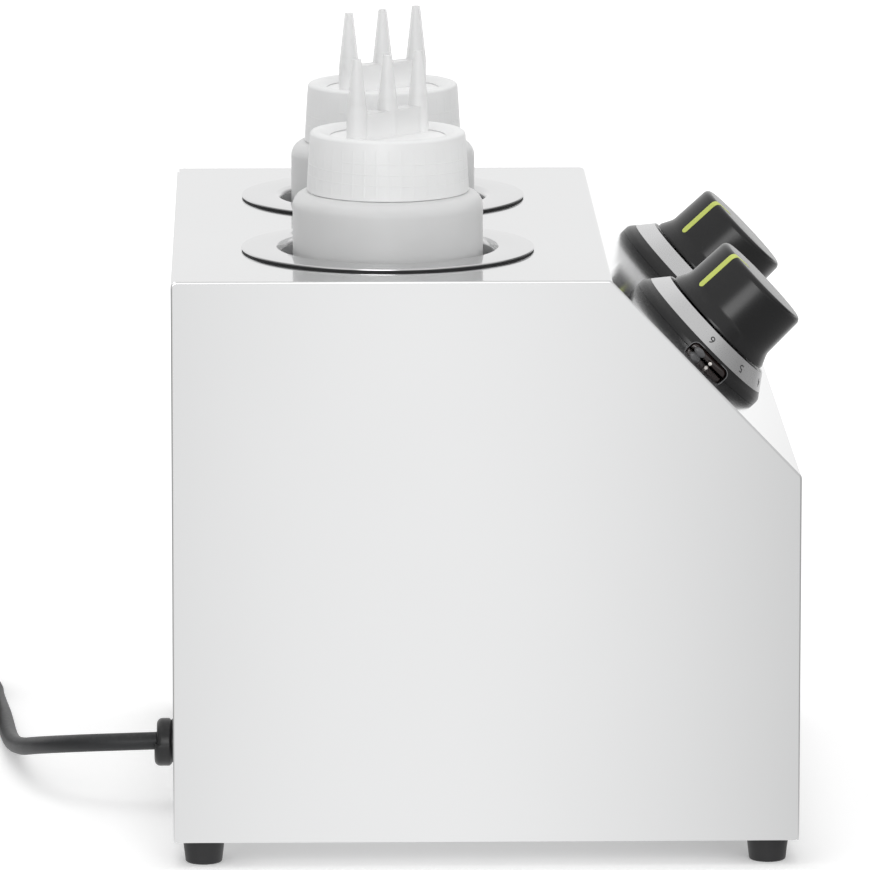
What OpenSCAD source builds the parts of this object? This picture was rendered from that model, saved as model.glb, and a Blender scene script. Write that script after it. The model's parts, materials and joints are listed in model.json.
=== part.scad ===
// Hot topping warmer for two squeeze bottles.
// A sloped sheet steel case holds two heated wells, each with its own dial thermostat on the slope.
// X runs across the two bottles, the front faces -Y, and Z is up from the surface that the feet stand on.
// "left" is the -X side and "right" is the +X side.

/* [Case] */
// Width across the two bottles
case_w = 300; // [286:1:340]
// Depth from the back face to the front face
case_d = 250; // [244:1:280]
// Height of the case above its feet
case_h = 227; // [222:1:250]
// Depth of the flat top, measured from the back
top_d = 174; // [168:1:180]
// Height of the upright front, below the slope
front_h = 148; // [142:1:156]
// Thickness of the outer sheet
sheet_t = 1; // [0.7:0.1:1.2]
// Outside radius of the bends in the sheet
bend_r = 2; // [1.6:0.1:4]
// Radius of a side panel's corners
corner_r = 2.5; // [0.8:0.1:3]
// Width of the folds that join a side panel to its neighbours
fold_w = 7.5; // [6.5:0.5:8]
// Gap at each seam between two sheets
seam = 0.15; // [0.1:0.05:0.3]
// How far the top sheet stops short of the back
top_short = 0.8; // [0.4:0.1:1.5]
// Radius of the case screws
case_screw_r = 1.75; // [1.4:0.05:1.9]
// Radius of a case screw's countersunk head
case_head_r = 3; // [2.6:0.1:3.2]
// Length of a case screw below its head
case_screw_l = 8; // [6:0.5:10]
// Extra radius of a hole round a screw
screw_gap = 0.15; // [0.1:0.05:0.3]
// Distance of the outer case screws from the panel's ends
case_screw_end = 28; // [20:1:40]

/* [Vents] */
// Number of slots in each vent
vent_n = 6; // [3:1:8]
// Length of a vent slot
vent_l = 44; // [30:1:55]
// Width of a vent slot
vent_w = 3.2; // [2:0.1:4]
// Distance from one slot to the next
vent_pitch = 8; // [6:0.5:10]
// Height of the back vents' middle above the case's bottom
vent_h = 150; // [120:1:170]

/* [Feet] */
// Height of a foot
foot_h = 10; // [7:0.5:12]
// Radius of a foot where it meets the base
foot_r = 8.5; // [7.5:0.1:10]
// Radius of a foot at the surface it stands on
foot_low_r = 7.3; // [6.5:0.1:8]
// Distance of a foot's centre from the front or the back
foot_in = 12; // [11:0.5:24]
// Distance of a foot's centre from the side
foot_side = 12; // [12:0.5:24]
// Radius of a foot screw
foot_screw_r = 1.5; // [1.2:0.1:1.6]
// Radius of a foot screw's head
foot_head_r = 3; // [2.4:0.1:4]
// Height of a foot screw's head
foot_head_h = 2.2; // [1.5:0.1:3]
// Height of the recess under a foot
foot_recess_h = 4.6; // [4:0.1:5.5]
// Height of a foot screw's nut
foot_nut_h = 2.4; // [2:0.1:4]

/* [Wells] */
// Distance between the two bottles' axes, and between the two knobs' axes
unit_pitch = 138; // [134:1:146]
// Distance of the wells' axes from the back
well_from_back = 87; // [84:1:90]
// Inside radius of a well
well_r = 42.5; // [41:0.5:43.5]
// Inside depth of a well below its flange
well_depth = 160; // [145:1:164]
// Thickness of a well's wall
well_t = 0.8; // [0.6:0.1:1]
// Outside radius of a well's flange
flange_r = 59.2; // [56:0.2:61]
// Radius of the lip between flange and well
lip_r = 3; // [2:0.2:5]
// Radius of the well's bottom corner
well_corner_r = 5; // [3:0.5:6]
// Extra radius of the hole that a well drops into
well_hole_gap = 1; // [0.6:0.1:1.5]
// Thickness of the gasket under a flange
seal_t = 0.6; // [0.4:0.1:1]
// How far the gasket stops short of the flange's edge
seal_in = 2.2; // [1.5:0.1:4]

/* [Heaters] */
// Thickness of a band heater
heater_t = 2.5; // [1.5:0.1:3]
// Height of a band heater
heater_h = 80; // [70:1:90]
// Height of a band heater above the well's bottom
heater_up = 24; // [18:1:30]
// Width of the split in a band heater
heater_split = 12; // [9:0.5:15]
// Gap between two rings that lie one in the other
ring_gap = 0.15; // [0.1:0.05:0.3]
// Thickness of a clamping strap
strap_t = 0.8; // [0.6:0.1:1]
// Height of a clamping strap
strap_h = 14; // [10:1:18]
// Distance of a strap from the heater's end
strap_in = 8; // [5:1:12]
// Length of a clamping strap's ears
ear_l = 9; // [8:0.5:10]
// Radius of a clamping screw
clamp_screw_r = 1.6; // [1.2:0.1:2]
// Radius of a heater's terminal stud
stud_r = 2; // [1.5:0.1:2.5]
// Length of a heater's terminal stud
stud_l = 9; // [7:0.5:10]
// Distance of a terminal stud from the middle of the split
stud_side = 13; // [12:0.5:15]
// Thickness of the insulation sleeve
wool_t = 12; // [8:0.5:13]
// Height of the insulation sleeve
wool_h = 122; // [110:1:128]
// Height of the insulation above the well's bottom
wool_up = 6; // [4:1:12]
// Width of the slot in the insulation
wool_slot = 40; // [36:1:46]

/* [Heat sensing] */
// Radius of a thermostat's sensing bulb
bulb_r = 3; // [2:0.1:3.5]
// Length of a sensing bulb
bulb_l = 70; // [50:1:72]
// Distance of a bulb from the well's axis
bulb_side = 12; // [10:0.5:16]
// Thickness of the strip that holds a bulb
clip_t = 0.6; // [0.5:0.1:1]
// Width of the strip that holds a bulb
clip_w = 12; // [8:1:16]
// Length of each foot of that strip
clip_foot = 6; // [5:0.5:7]
// Gap round a bulb in its strip
clip_gap = 0.1; // [0.05:0.05:0.2]
// Radius of the capillary tube
capillary_r = 1; // [0.8:0.1:1.3]
// Radius of a safety cutout
cutout_r = 8; // [7:0.5:9]
// Height of a safety cutout
cutout_h = 7; // [5:0.5:10]
// Thickness of a cutout's fixing plate
cutout_plate_t = 0.8; // [0.6:0.1:1.2]
// Distance of a cutout from the well's axis
cutout_side = 16; // [14:0.5:18]

/* [Thermostats] */
// Distance of the knobs' axes from the bend at the top of the slope
knob_down = 54.6; // [50:0.2:58]
// Width of a thermostat's body
stat_w = 34; // [30:1:38]
// Length of a thermostat's body along the slope
stat_l = 40; // [34:1:44]
// Depth of a thermostat's body
stat_h = 27; // [22:1:30]
// Thickness of a thermostat's fixing bracket
bracket_t = 1.2; // [1:0.1:2]
// Distance of a fixing screw from the shaft
stat_screw_side = 14; // [12:0.5:15]
// Radius of a fixing screw
stat_screw_r = 1.9; // [1.5:0.1:2]
// Length of a fixing screw below its head
stat_screw_l = 7; // [5:0.5:8]
// Radius of the thermostat's shaft
shaft_r = 3; // [2.5:0.1:3.5]
// Length of the shaft inside the thermostat
shaft_in = 12; // [9:0.5:14]
// Height of the shaft above the slope
shaft_out = 26; // [22:0.5:29]
// Depth of the flat on the shaft
shaft_flat = 1.1; // [0.6:0.1:1.4]
// Running clearance of the shaft, on its radius
shaft_gap = 0.05; // [0.02:0.01:0.1]
// Radius of the hole in the slope for a shaft
shaft_hole_r = 5; // [4.5:0.1:6]

/* [Bezels] */
// Radius of a bezel near the slope
bezel_r = 33.8; // [33:0.1:36]
// Radius of a bezel's edge on the slope
bezel_edge_r = 1; // [0.4:0.1:1.2]
// Outside radius of the scale ring
scale_r = 31.7; // [31:0.1:32.6]
// Height of the scale ring's outer edge above the slope
scale_low = 5.1; // [4.8:0.1:6]
// Inside radius of the scale ring's visible face
scale_in_r = 26.9; // [26.2:0.1:27.5]
// Height of the scale ring's inner edge above the slope
scale_high = 11.4; // [10.5:0.1:11.6]
// Thickness of the scale ring
scale_t = 0.6; // [0.4:0.1:0.8]
// Thickness of a bezel's top
bezel_top_t = 2.4; // [2:0.1:3]
// Radius of the hollow in a bezel
bezel_hollow_r = 29; // [28.5:0.1:29.4]
// Radius of the hole in a bezel for the knob's hub
bezel_hole_r = 9.5; // [9:0.1:11]
// Width of the pilot lamp window
window_w = 20; // [18:0.5:21]
// Height of the pilot lamp window
window_h = 3.8; // [3.4:0.1:4.2]
// Radius of the window's upper corners
window_r = 2.8; // [2:0.1:3.2]
// Outside radius of the pilot lens, from the knob's axis
lens_r = 32; // [31.4:0.1:32.4]
// Gap between the lens and its window
lens_gap = 0.8; // [0.4:0.1:1]
// Thickness of the rim that holds the lens in
lens_rim_t = 1.2; // [0.8:0.1:1.6]
// Radius of the pilot lamp
lamp_r = 2.3; // [1.8:0.1:2.5]
// Length of the pilot lamp
lamp_l = 13; // [10:0.5:15]

/* [Knobs] */
// Radius of a knob's skirt
knob_skirt_r = 25; // [24.4:0.1:25.6]
// Gap between a knob and its bezel
knob_gap = 0.6; // [0.4:0.1:1]
// Height of a knob's skirt
knob_skirt_h = 1.1; // [0.8:0.1:1.6]
// Radius of a knob's grip above the skirt
knob_neck_r = 22.6; // [22:0.1:23.4]
// Height of the flare between skirt and grip
knob_flare_h = 5; // [4:0.5:7]
// Radius of a knob's grip at its top
knob_top_r = 22; // [20:0.1:22.4]
// Height of a knob's top above the slope
knob_h = 37.6; // [34:0.1:40]
// Radius of a knob's top edge
knob_edge_r = 2.4; // [1.5:0.1:3]
// Thickness of a knob's wall
knob_wall = 2.4; // [2:0.1:3]
// Radius of a knob's hub
knob_hub_r = 7.5; // [7:0.1:8.5]
// Angle of a knob that is off, anticlockwise from up the slope
knob_off_angle = 36; // [0:1:45]
// Width of the pointer stripe
pointer_w = 2.6; // [2:0.1:3.5]
// Depth of the groove that the pointer lies in
pointer_t = 0.7; // [0.5:0.1:1]
// How far the pointer stands proud
pointer_up = 0.12; // [0.05:0.01:0.2]
// Height of the pointer's lower end above the slope
pointer_low = 18.5; // [18:0.5:22]
// Length of the pointer across the knob's top
pointer_top_l = 8.5; // [5:0.5:12]

/* [Bottles] */
// Outside radius of a bottle
bottle_r = 38.4; // [37:0.1:39]
// Thickness of a bottle's wall
bottle_t = 1.5; // [1.2:0.1:2]
// Height of a bottle's shoulder above the flange
shoulder_up = 22.6; // [20:0.1:28]
// Radius of a bottle's shoulder
shoulder_r = 6; // [4:0.5:7]
// Radius of a bottle's bottom corner
bottle_corner_r = 7; // [5.5:0.5:9]
// Radius of a bottle's neck
neck_r = 28.4; // [28:0.1:28.6]
// Height of a bottle's neck
neck_h = 20.4; // [20:0.1:23]
// How far a bottle stands off the well's bottom
bottle_gap = 0.3; // [0.2:0.1:0.5]
// Pitch of the neck's thread
thread_pitch = 5; // [4.5:0.1:6]
// Height of a thread's ridge
thread_h = 1.2; // [0.9:0.1:1.3]
// How deep a thread's ridge is rooted in its wall
thread_root = 0.6; // [0.5:0.05:0.7]
// Width of a thread's ridge at its foot
thread_w = 1.7; // [1.3:0.1:1.9]
// Height above the shoulder where the neck's thread starts
thread_up = 2.2; // [1.8:0.1:3]
// Turns of thread on the neck
neck_turns = 2; // [1:0.25:2.25]
// Turns of thread in the collar
collar_turns = 1; // [0.5:0.25:1.25]

/* [Collars and nozzles] */
// Outside radius of a collar at its foot
collar_r = 32.7; // [32.2:0.1:33.5]
// Outside radius of a collar at its top
collar_top_r = 31.3; // [31:0.1:32]
// Inside radius of a collar
collar_in_r = 30.1; // [30:0.1:30.3]
// Gap between a collar and the bottle's shoulder
collar_gap = 0.3; // [0.3:0.1:1]
// Thickness of a collar's top
collar_lip_t = 2.2; // [1.8:0.1:3]
// Radius of the opening in a collar's top
collar_mouth_r = 23.4; // [23:0.1:24]
// Radius of the rounded edges of a collar's top
collar_edge_r = 1.6; // [0.6:0.1:2]
// Radius of a nozzle's disc
disc_r = 28; // [26.5:0.1:28.4]
// Thickness of a nozzle's disc
disc_t = 1.6; // [1.2:0.1:2]
// Gap between the disc and the bottle's rim and between the disc and the collar
disc_gap = 0.1; // [0.05:0.05:0.2]
// Distance from one spout to the next
spout_pitch = 18; // [15:0.5:18.5]
// Radius of a spout where it leaves the manifold
spout_r = 4.2; // [4:0.1:4.8]
// Radius of a spout at its tip
spout_tip_r = 1.75; // [1.6:0.05:2.5]
// Height of the manifold above the collar's top
manifold_up = 8.4; // [6:0.1:9]
// Height of the spouts' tips above the collar's top
spout_up = 30.8; // [26:0.1:34]
// Thickness of the spouts' walls
spout_t = 0.9; // [0.7:0.1:1.1]
// Thickness of a spout's wall at its tip
spout_tip_t = 0.8; // [0.5:0.1:1]
// How far the manifold's sides lie inside the spouts
bar_in = 0.3; // [0.2:0.05:0.5]
// Angle of the left nozzle's row of spouts
left_row_angle = -44; // [-90:1:90]
// Angle of the right nozzle's row of spouts
right_row_angle = -52; // [-90:1:90]

/* [Wiring] */
// Distance of the cord's gland from the case's middle
gland_x = -40; // [-60:1:-20]
// Height of the gland's axis above the case's bottom
gland_up = 17.7; // [16:0.1:24]
// Radius of the mains cord
cord_r = 3.7; // [3:0.1:4]
// Radius of the gland's flange
gland_flange_r = 9; // [8.4:0.1:10]
// Thickness of the gland's flange
gland_flange_t = 1.6; // [1.2:0.1:2]
// Radius of the gland's two clamping halves
gland_head_r = 9.4; // [9:0.1:10]
// How far the upper half stands out from the back
gland_head_t = 7.8; // [6:0.1:8.2]
// How far the lower half reaches past the upper one, outwards and downwards
gland_step = 1; // [0.4:0.1:1.4]
// Radius of the gland where it passes the back panel
gland_neck_r = 6.4; // [5.8:0.1:7]
// Length of the gland inside the case
gland_in_l = 17; // [14:0.5:22]
// Radius of the gland's inner end
gland_end_r = 5; // [4.6:0.1:5.6]
// Extra radius of the gland's hole
gland_gap = 0.2; // [0.1:0.05:0.4]
// Width of the terminal block
block_w = 42; // [38:1:46]
// Depth of the terminal block
block_d = 20; // [16:1:24]
// Height of the terminal block
block_h = 16; // [14:0.5:20]
// Distance from one terminal to the next
pole_pitch = 12; // [11:0.5:13]
// Distance of the terminal block's middle from the back
block_from_back = 53; // [50:1:58]
// Radius of a wire
wire_r = 1.3; // [1:0.1:1.5]
// Radius of the earth stud
earth_r = 2.5; // [2:0.1:3]
// Height of the earth stud above the base
earth_h = 14; // [11:0.5:18]

/* [Cord] */
// Radius of the coil at the middle of its turns
coil_mid_r = 41.1; // [38:0.1:44]
// Number of turns side by side in the coil
coil_wide = 2; // [2:1:3]
// Number of turns on each other in the coil
coil_high = 3; // [2:1:3]
// Radius of the coil's corners
coil_round = 3.5; // [2:0.1:3.6]
// Gap between the coil and its tie
tie_gap = 0.15; // [0.1:0.05:0.3]
// Width of the tie round the coil
tie_w = 14; // [8:1:20]
// Thickness of the tie round the coil
tie_t = 0.9; // [0.6:0.1:1.5]
// Radius of the plug's body
plug_r = 18.5; // [17:0.1:20]
// Length of the plug's body
plug_l = 34; // [28:1:40]
// Length of the plug's cord sleeve
sleeve_l = 24; // [18:1:30]
// Radius of a plug pin
pin_r = 2.4; // [2.3:0.1:2.5]
// Length of a plug pin
pin_l = 19; // [18:0.5:20]
// Distance between the plug's pins
pin_pitch = 19; // [18.5:0.1:19.5]

/* [Hidden] */
$fn = 72;
left = -1;
right = 1;
eps = 0.01;

// Heights and faces of the case
bottom_z = foot_h;
top_z = foot_h + case_h;
back_y = case_d / 2;
front_y = -case_d / 2;
bend_y = back_y - top_d;
slope_a = atan2(case_h - front_h, case_d - top_d);
panel_w = case_w - 2 * sheet_t - 2 * seam;
inner_t = sheet_t + seam;
case_points = [[back_y, bottom_z], [back_y, top_z], [bend_y, top_z],
  [front_y, bottom_z + front_h], [front_y, bottom_z]];
fold_x = case_w / 2 - sheet_t - fold_w / 2;
case_screw_ys = [front_y + case_screw_end, 0, back_y - case_screw_end];
case_screw_zs = [bottom_z + case_screw_end, bottom_z + case_h / 2, top_z - case_screw_end];
foot_x = case_w / 2 - foot_side;
foot_y = case_d / 2 - foot_in;
base_top_z = bottom_z + sheet_t;

// Heights of a well and what surrounds it
well_y = back_y - well_from_back;
flange_z = top_z + seal_t + well_t;
well_floor_z = flange_z - well_depth;
well_under_z = well_floor_z - well_t;
cup_r = well_r + well_t;
heater_in_r = cup_r + ring_gap;
heater_out_r = heater_in_r + heater_t;
strap_in_r = heater_out_r + ring_gap;
strap_out_r = strap_in_r + strap_t;
wool_in_r = strap_out_r + ring_gap;
wool_out_r = wool_in_r + wool_t;
heater_z = well_under_z + heater_up;
ear_x = heater_split / 4;
bulb_z = well_under_z - clip_gap - bulb_r;
bulb_front_y = well_y - bulb_l / 2;

// Places on the slope, and heights above it
knob_y = bend_y - knob_down * cos(slope_a);
knob_z = top_z - knob_down * sin(slope_a);
stat_top = -sheet_t - bracket_t;
stat_bottom = stat_top - stat_h;
shaft_low = stat_top - shaft_in;
knob_low = scale_high + knob_gap;
lamp_x = -(sqrt((bezel_hollow_r - lens_rim_t - ring_gap) ^ 2 - (lamp_l / 2) ^ 2) - lamp_r - ring_gap);
spade_h = 7;
spade_w = 4.8;
spade_t = 0.8;
spade_x = 9;
spade_y = 11;

// Heights of a bottle and its collar
bottle_low_z = well_floor_z + bottle_gap;
shoulder_z = flange_z + shoulder_up;
rim_z = shoulder_z + neck_h;
collar_low_z = shoulder_z + collar_gap;
disc_z = rim_z + disc_gap;
collar_under_z = disc_z + disc_t + disc_gap;
collar_z = collar_under_z + collar_lip_t;
thread_seg = 24;

// Places of the wiring
gland_z = bottom_z + gland_up;
block_y = back_y - block_from_back;
pole_z = base_top_z + block_h / 2;
earth_x = 20;

// The cord's route on the floor, from the gland to the coil, and from the coil to the plug.
// The points were chosen by hand for this gland.
cord_step = 2 * cord_r;
cord_route = [
  [-40, 132.8, 27.7], [-39.5, 146, 27.2], [-35, 160, 25.8], [-26, 171, 23.4], [-14, 179, 20.4],
  [0, 184.5, 17], [15, 188.5, 13.4], [31, 191.5, 10.2], [48, 194, 7.4], [66, 196, 5.2],
  [84, 197.7, 4], [103, 199.3, 3.7], [122, 201, 3.7], [140, 203, 3.8], [157, 205, 4.2],
  [173, 206.5, 4.8]];
coil_x = 178;
coil_y = 207 + coil_mid_r + (coil_wide - 1) * cord_r;
coil_h = coil_high * cord_step;
coil_z = tie_t + tie_gap;
tie_line = [[-coil_wide * cord_r, 0], [coil_wide * cord_r, 0], [coil_wide * cord_r, coil_h],
  [-coil_wide * cord_r, coil_h]];
lead_route = [
  [172, 296, 19.4], [158, 296.6, 19.3], [144, 296.2, 19], [131, 294.6, 18.7], [119, 292, 18.5],
  [108, 288.8, 18.5], [98, 285.4, 18.5]];
plug_point = lead_route[len(lead_route) - 1];
plug_angle = 198.5;

function unit(v) = v / norm(v);
function left_of(v) = [-v[1], v[0]];
function turned(v, a) = [v[0] * cos(a) - v[1] * sin(a), v[0] * sin(a) + v[1] * cos(a)];
function reversed(list) = [for (i = [len(list) - 1:-1:0]) list[i]];
// Signed angle between two directions, positive to the left
function turn_of(u, v) = atan2(u[0] * v[1] - u[1] * v[0], u * v);

// Points round a corner b with radius r, on the line that lies t to the left of a, b, c
function corner(a, b, c, r, t = 0, k = 5) =
  let (
    u = unit(b - a),
    v = unit(c - b),
    s = turn_of(u, v) > 0 ? 1 : -1,
    n = left_of(u),
    m = left_of(v),
    middle = b + (n + m) * s * r / (1 + n * m)
  )
  r <= 0 ? [b + (n + m) * t / (1 + n * m)]
    : [for (i = [0:k]) middle - turned(n, turn_of(u, v) * i / k) * s * (r - s * t)];

// A line with rounded corners, moved t to its left
function rounded_line(points, radii, t = 0) =
  let (last = len(points) - 1)
  concat(
    [points[0] + left_of(unit(points[1] - points[0])) * t],
    [for (i = [1:1:last - 1]) each corner(points[i - 1], points[i], points[i + 1], radii[i - 1], t)],
    [points[last] + left_of(unit(points[last] - points[last - 1])) * t]);

// A closed outline with rounded corners, moved t inwards
function rounded_loop(points, r, t = 0) =
  let (n = len(points))
  [for (i = [0:n - 1]) each corner(points[(i + n - 1) % n], points[i], points[(i + 1) % n], r, t)];

// Section of a sheet of thickness t that lies to the left of a bent line
module sheet_section(points, radii, t)
  polygon(concat(rounded_line(points, radii), reversed(rounded_line(points, radii, t))));

module along_x(w) rotate([90, 0, 90]) linear_extrude(w, center = true) children();
module at_well(side) translate([side * unit_pitch / 2, well_y, 0]) children();
module on_slope(side) translate([side * unit_pitch / 2, knob_y, knob_z]) rotate([slope_a, 0, 0]) children();
module on_dial(side) on_slope(side) rotate([0, 0, knob_off_angle]) children();
// A point given by its place on the slope: across, up the slope, and out of it
function slope_point(side, p) = [
  side * unit_pitch / 2 + p[0],
  knob_y + p[1] * cos(slope_a) - p[2] * sin(slope_a),
  knob_z + p[1] * sin(slope_a) + p[2] * cos(slope_a)];

// Directions along a path of points
function tangent(path, i) =
  unit(path[min(i + 1, len(path) - 1)] - path[max(i - 1, 0)]);
function across(path, i, ref) = unit(cross(tangent(path, i), ref));
// A tube of radius r along a path, closed at both ends
module tube(path, r, sides, ref) {
  last = len(path) - 1;
  rings = [for (i = [0:last]) let (u = across(path, i, ref), v = cross(u, tangent(path, i)))
    for (j = [0:sides - 1]) path[i] + (u * cos(j * 360 / sides) + v * sin(j * 360 / sides)) * r];
  walls = [for (i = [0:last - 1]) for (j = [0:sides - 1])
    [i * sides + j, i * sides + (j + 1) % sides, (i + 1) * sides + (j + 1) % sides, (i + 1) * sides + j]];
  ends = [[for (j = [sides - 1:-1:0]) j], [for (j = [0:sides - 1]) last * sides + j]];
  polyhedron(rings, concat(walls, ends));
}

// A few points between the chosen ones, on a smooth curve through them
function on_curve(a, b, c, d, u) =
  0.5 * ((2 * b) + (c - a) * u + (2 * a - 5 * b + 4 * c - d) * u * u + (3 * b - a - 3 * c + d) * u * u * u);
function smooth(path, k = 4) =
  let (n = len(path))
  concat(
    [for (i = [0:n - 2]) for (j = [0:k - 1])
      on_curve(path[max(i - 1, 0)], path[i], path[i + 1], path[min(i + 2, n - 1)], j / k)],
    [path[n - 1]]);
module wire(path) tube(smooth(path), wire_r, 6, [0.31, 0.2, 0.93]);

// A helical ridge: foot on radius r, top at r + h, right-handed, from height z0
module ridge(r, h, z0, turns) {
  n = ceil(turns * thread_seg);
  half = thread_w / 2;
  tip = half * 0.5;
  root = -thread_root * sign(h);
  rings = [for (i = [0:n]) let (
      a = i * 360 * turns / n,
      z = z0 + thread_pitch * turns * i / n,
      grow = min(1, (i + 0.6) / 3, (n - i + 0.6) / 3),
      up = [cos(a), sin(a)])
    for (p = [[root, -half], [h * grow, -tip * grow], [h * grow, tip * grow], [root, half]])
      [(r + p[0]) * up[0], (r + p[0]) * up[1], z + p[1]]];
  walls = [for (i = [0:n - 1]) for (j = [0:3])
    [i * 4 + j, i * 4 + (j + 1) % 4, (i + 1) * 4 + (j + 1) % 4, (i + 1) * 4 + j]];
  faces = concat(walls, [[3, 2, 1, 0]], [[n * 4, n * 4 + 1, n * 4 + 2, n * 4 + 3]]);
  polyhedron(rings, h > 0 ? faces : [for (f = faces) reversed(f)]);
}

// Case

module side_panel(side) color("gainsboro") difference() {
  union() {
    translate([side * (case_w - sheet_t) / 2, 0, 0])
      along_x(sheet_t) polygon(rounded_loop(case_points, corner_r));
    translate([side * (fold_x + sheet_t / 4), 0, 0]) along_x(fold_w + sheet_t / 2) difference() {
      polygon(rounded_loop(case_points, 0, inner_t));
      polygon(rounded_loop(case_points, 0, inner_t + sheet_t));
    }
  }
  for (y = case_screw_ys)
    translate([side * fold_x, y, bottom_z]) cylinder(h = 4 * sheet_t, r = case_screw_r + screw_gap);
  for (z = case_screw_zs)
    translate([side * fold_x, back_y, z]) rotate([90, 0, 0])
      cylinder(h = 4 * sheet_t, r = case_screw_r + screw_gap);
}

module top_front_panel() color("whitesmoke") difference() {
  along_x(panel_w) sheet_section(
    [[back_y - top_short, top_z], [bend_y, top_z], [front_y, bottom_z + front_h], [front_y, bottom_z]],
    [bend_r, bend_r], sheet_t);
  for (side = [left, right]) {
    at_well(side) translate([0, 0, top_z - 2 * sheet_t])
      cylinder(h = 3 * sheet_t, r = cup_r + well_hole_gap);
    on_slope(side) translate([0, 0, -2 * sheet_t]) {
      cylinder(h = 3 * sheet_t, r = shaft_hole_r);
      for (x = [-1, 1])
        translate([x * stat_screw_side, 0, 0]) cylinder(h = 3 * sheet_t, r = stat_screw_r + screw_gap);
      translate([lamp_x, 0, 1.5 * sheet_t]) cube([4, lamp_l - 1, 3 * sheet_t], center = true);
    }
  }
}

// The hole in a sheet for a countersunk screw's head
module countersink() translate([0, 0, -eps])
  cylinder(h = sheet_t + 2 * eps, r1 = case_head_r + screw_gap, r2 = case_screw_r + 2 * screw_gap);

module back_panel() color("lightgray") difference() {
  union() {
    translate([-panel_w / 2, back_y - sheet_t, bottom_z]) cube([panel_w, sheet_t, case_h - inner_t]);
    translate([-panel_w / 2 + fold_w + seam, back_y - fold_w - inner_t, top_z - inner_t - sheet_t])
      cube([panel_w - 2 * fold_w - 2 * seam, fold_w + inner_t, sheet_t]);
  }
  for (side = [left, right]) for (z = case_screw_zs)
    translate([side * fold_x, back_y, z]) rotate([90, 0, 0]) countersink();
  translate([gland_x, back_y + 1, gland_z]) rotate([90, 0, 0])
    cylinder(h = sheet_t + 2, r = gland_neck_r + gland_gap);
  for (side = [left, right]) for (i = [0:vent_n - 1])
    translate([side * unit_pitch / 2 - vent_l / 2, back_y - 2 * sheet_t,
      bottom_z + vent_h + (i - (vent_n - 1) / 2) * vent_pitch - vent_w / 2])
      cube([vent_l, 3 * sheet_t, vent_w]);
}

module base_plate() color("lightgray") difference() {
  translate([-panel_w / 2, front_y + inner_t, bottom_z])
    cube([panel_w, case_d - 2 * inner_t, sheet_t]);
  for (side = [left, right]) {
    for (y = case_screw_ys) translate([side * fold_x, y, bottom_z]) countersink();
    for (y = [-foot_y, foot_y])
      translate([side * foot_x, y, bottom_z - 1]) cylinder(h = sheet_t + 2, r = foot_screw_r + screw_gap);
    for (i = [0:vent_n - 1])
      translate([side * unit_pitch / 2 - vent_l / 2,
        (i - (vent_n - 1) / 2) * vent_pitch - vent_w / 2, bottom_z - 1])
        cube([vent_l, vent_w, sheet_t + 2]);
  }
  translate([earth_x, block_y, bottom_z - 1]) cylinder(h = sheet_t + 2, r = earth_r + screw_gap);
}

module countersunk_screw() {
  cylinder(h = sheet_t, r1 = case_head_r, r2 = case_screw_r);
  cylinder(h = case_screw_l, r = case_screw_r);
}

module back_screws() color("silver")
  for (side = [left, right]) for (z = case_screw_zs)
    translate([side * fold_x, back_y, z]) rotate([90, 0, 0]) countersunk_screw();

module base_screws() color("silver")
  for (side = [left, right]) for (y = case_screw_ys)
    translate([side * fold_x, y, bottom_z]) countersunk_screw();

// Wells and heaters

module well(side) color("gainsboro") at_well(side) rotate_extrude()
  sheet_section(
    [[flange_r, flange_z], [well_r, flange_z], [well_r, well_floor_z], [0, well_floor_z]],
    [lip_r, well_corner_r], well_t);

module ring(in_r, out_r, h) difference() {
  cylinder(h = h, r = out_r);
  translate([0, 0, -1]) cylinder(h = h + 2, r = in_r);
}

module well_seal(side) color("darkgray") at_well(side) translate([0, 0, top_z])
  ring(well_r + lip_r + seam, flange_r - seal_in, seal_t);

module band_heater(side) color("peru") at_well(side) translate([0, 0, heater_z]) {
  difference() {
    ring(heater_in_r, heater_out_r, heater_h);
    translate([-heater_split / 2, 0, -1]) cube([heater_split, 2 * heater_out_r, heater_h + 2]);
  }
  for (x = [-1, 1]) translate([x * stud_side, 0, heater_h / 2]) rotate([-90, 0, 0])
    translate([0, 0, heater_in_r * cos(asin(stud_side / heater_in_r)) + heater_t / 2])
      cylinder(h = stud_l, r = stud_r);
}

module heater_clamp(side) color("silver") at_well(side)
  for (z = [strap_in, heater_h - strap_in - strap_h]) translate([0, 0, heater_z + z]) {
    difference() {
      union() {
        ring(strap_in_r, strap_out_r, strap_h);
        for (x = [-1, 1]) translate([x * ear_x - strap_t / 2, strap_in_r, 0])
          cube([strap_t, ear_l, strap_h]);
      }
      translate([-ear_x + strap_t / 2, 0, -1]) cube([2 * ear_x - strap_t, strap_out_r + ear_l, strap_h + 2]);
      translate([-heater_split, strap_in_r + ear_l * 0.6, strap_h / 2]) rotate([0, 90, 0])
        cylinder(h = 2 * heater_split, r = clamp_screw_r + screw_gap);
    }
    translate([-ear_x - strap_t, strap_in_r + ear_l * 0.6, strap_h / 2]) rotate([0, 90, 0]) {
      cylinder(h = 2 * (ear_x + strap_t), r = clamp_screw_r);
      translate([0, 0, -clamp_screw_r + strap_t / 2]) cylinder(h = clamp_screw_r, r = 2 * clamp_screw_r);
      translate([0, 0, 2 * ear_x + 1.5 * strap_t])
        cylinder(h = clamp_screw_r, r = 2 * clamp_screw_r, $fn = 6);
    }
  }

module insulation(side) color("khaki") at_well(side) translate([0, 0, well_under_z + wool_up])
  difference() {
    ring(wool_in_r, wool_out_r, wool_h);
    translate([-wool_slot / 2, 0, -1]) cube([wool_slot, wool_out_r + 1, wool_h + 2]);
  }

// Heat sensing

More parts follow.
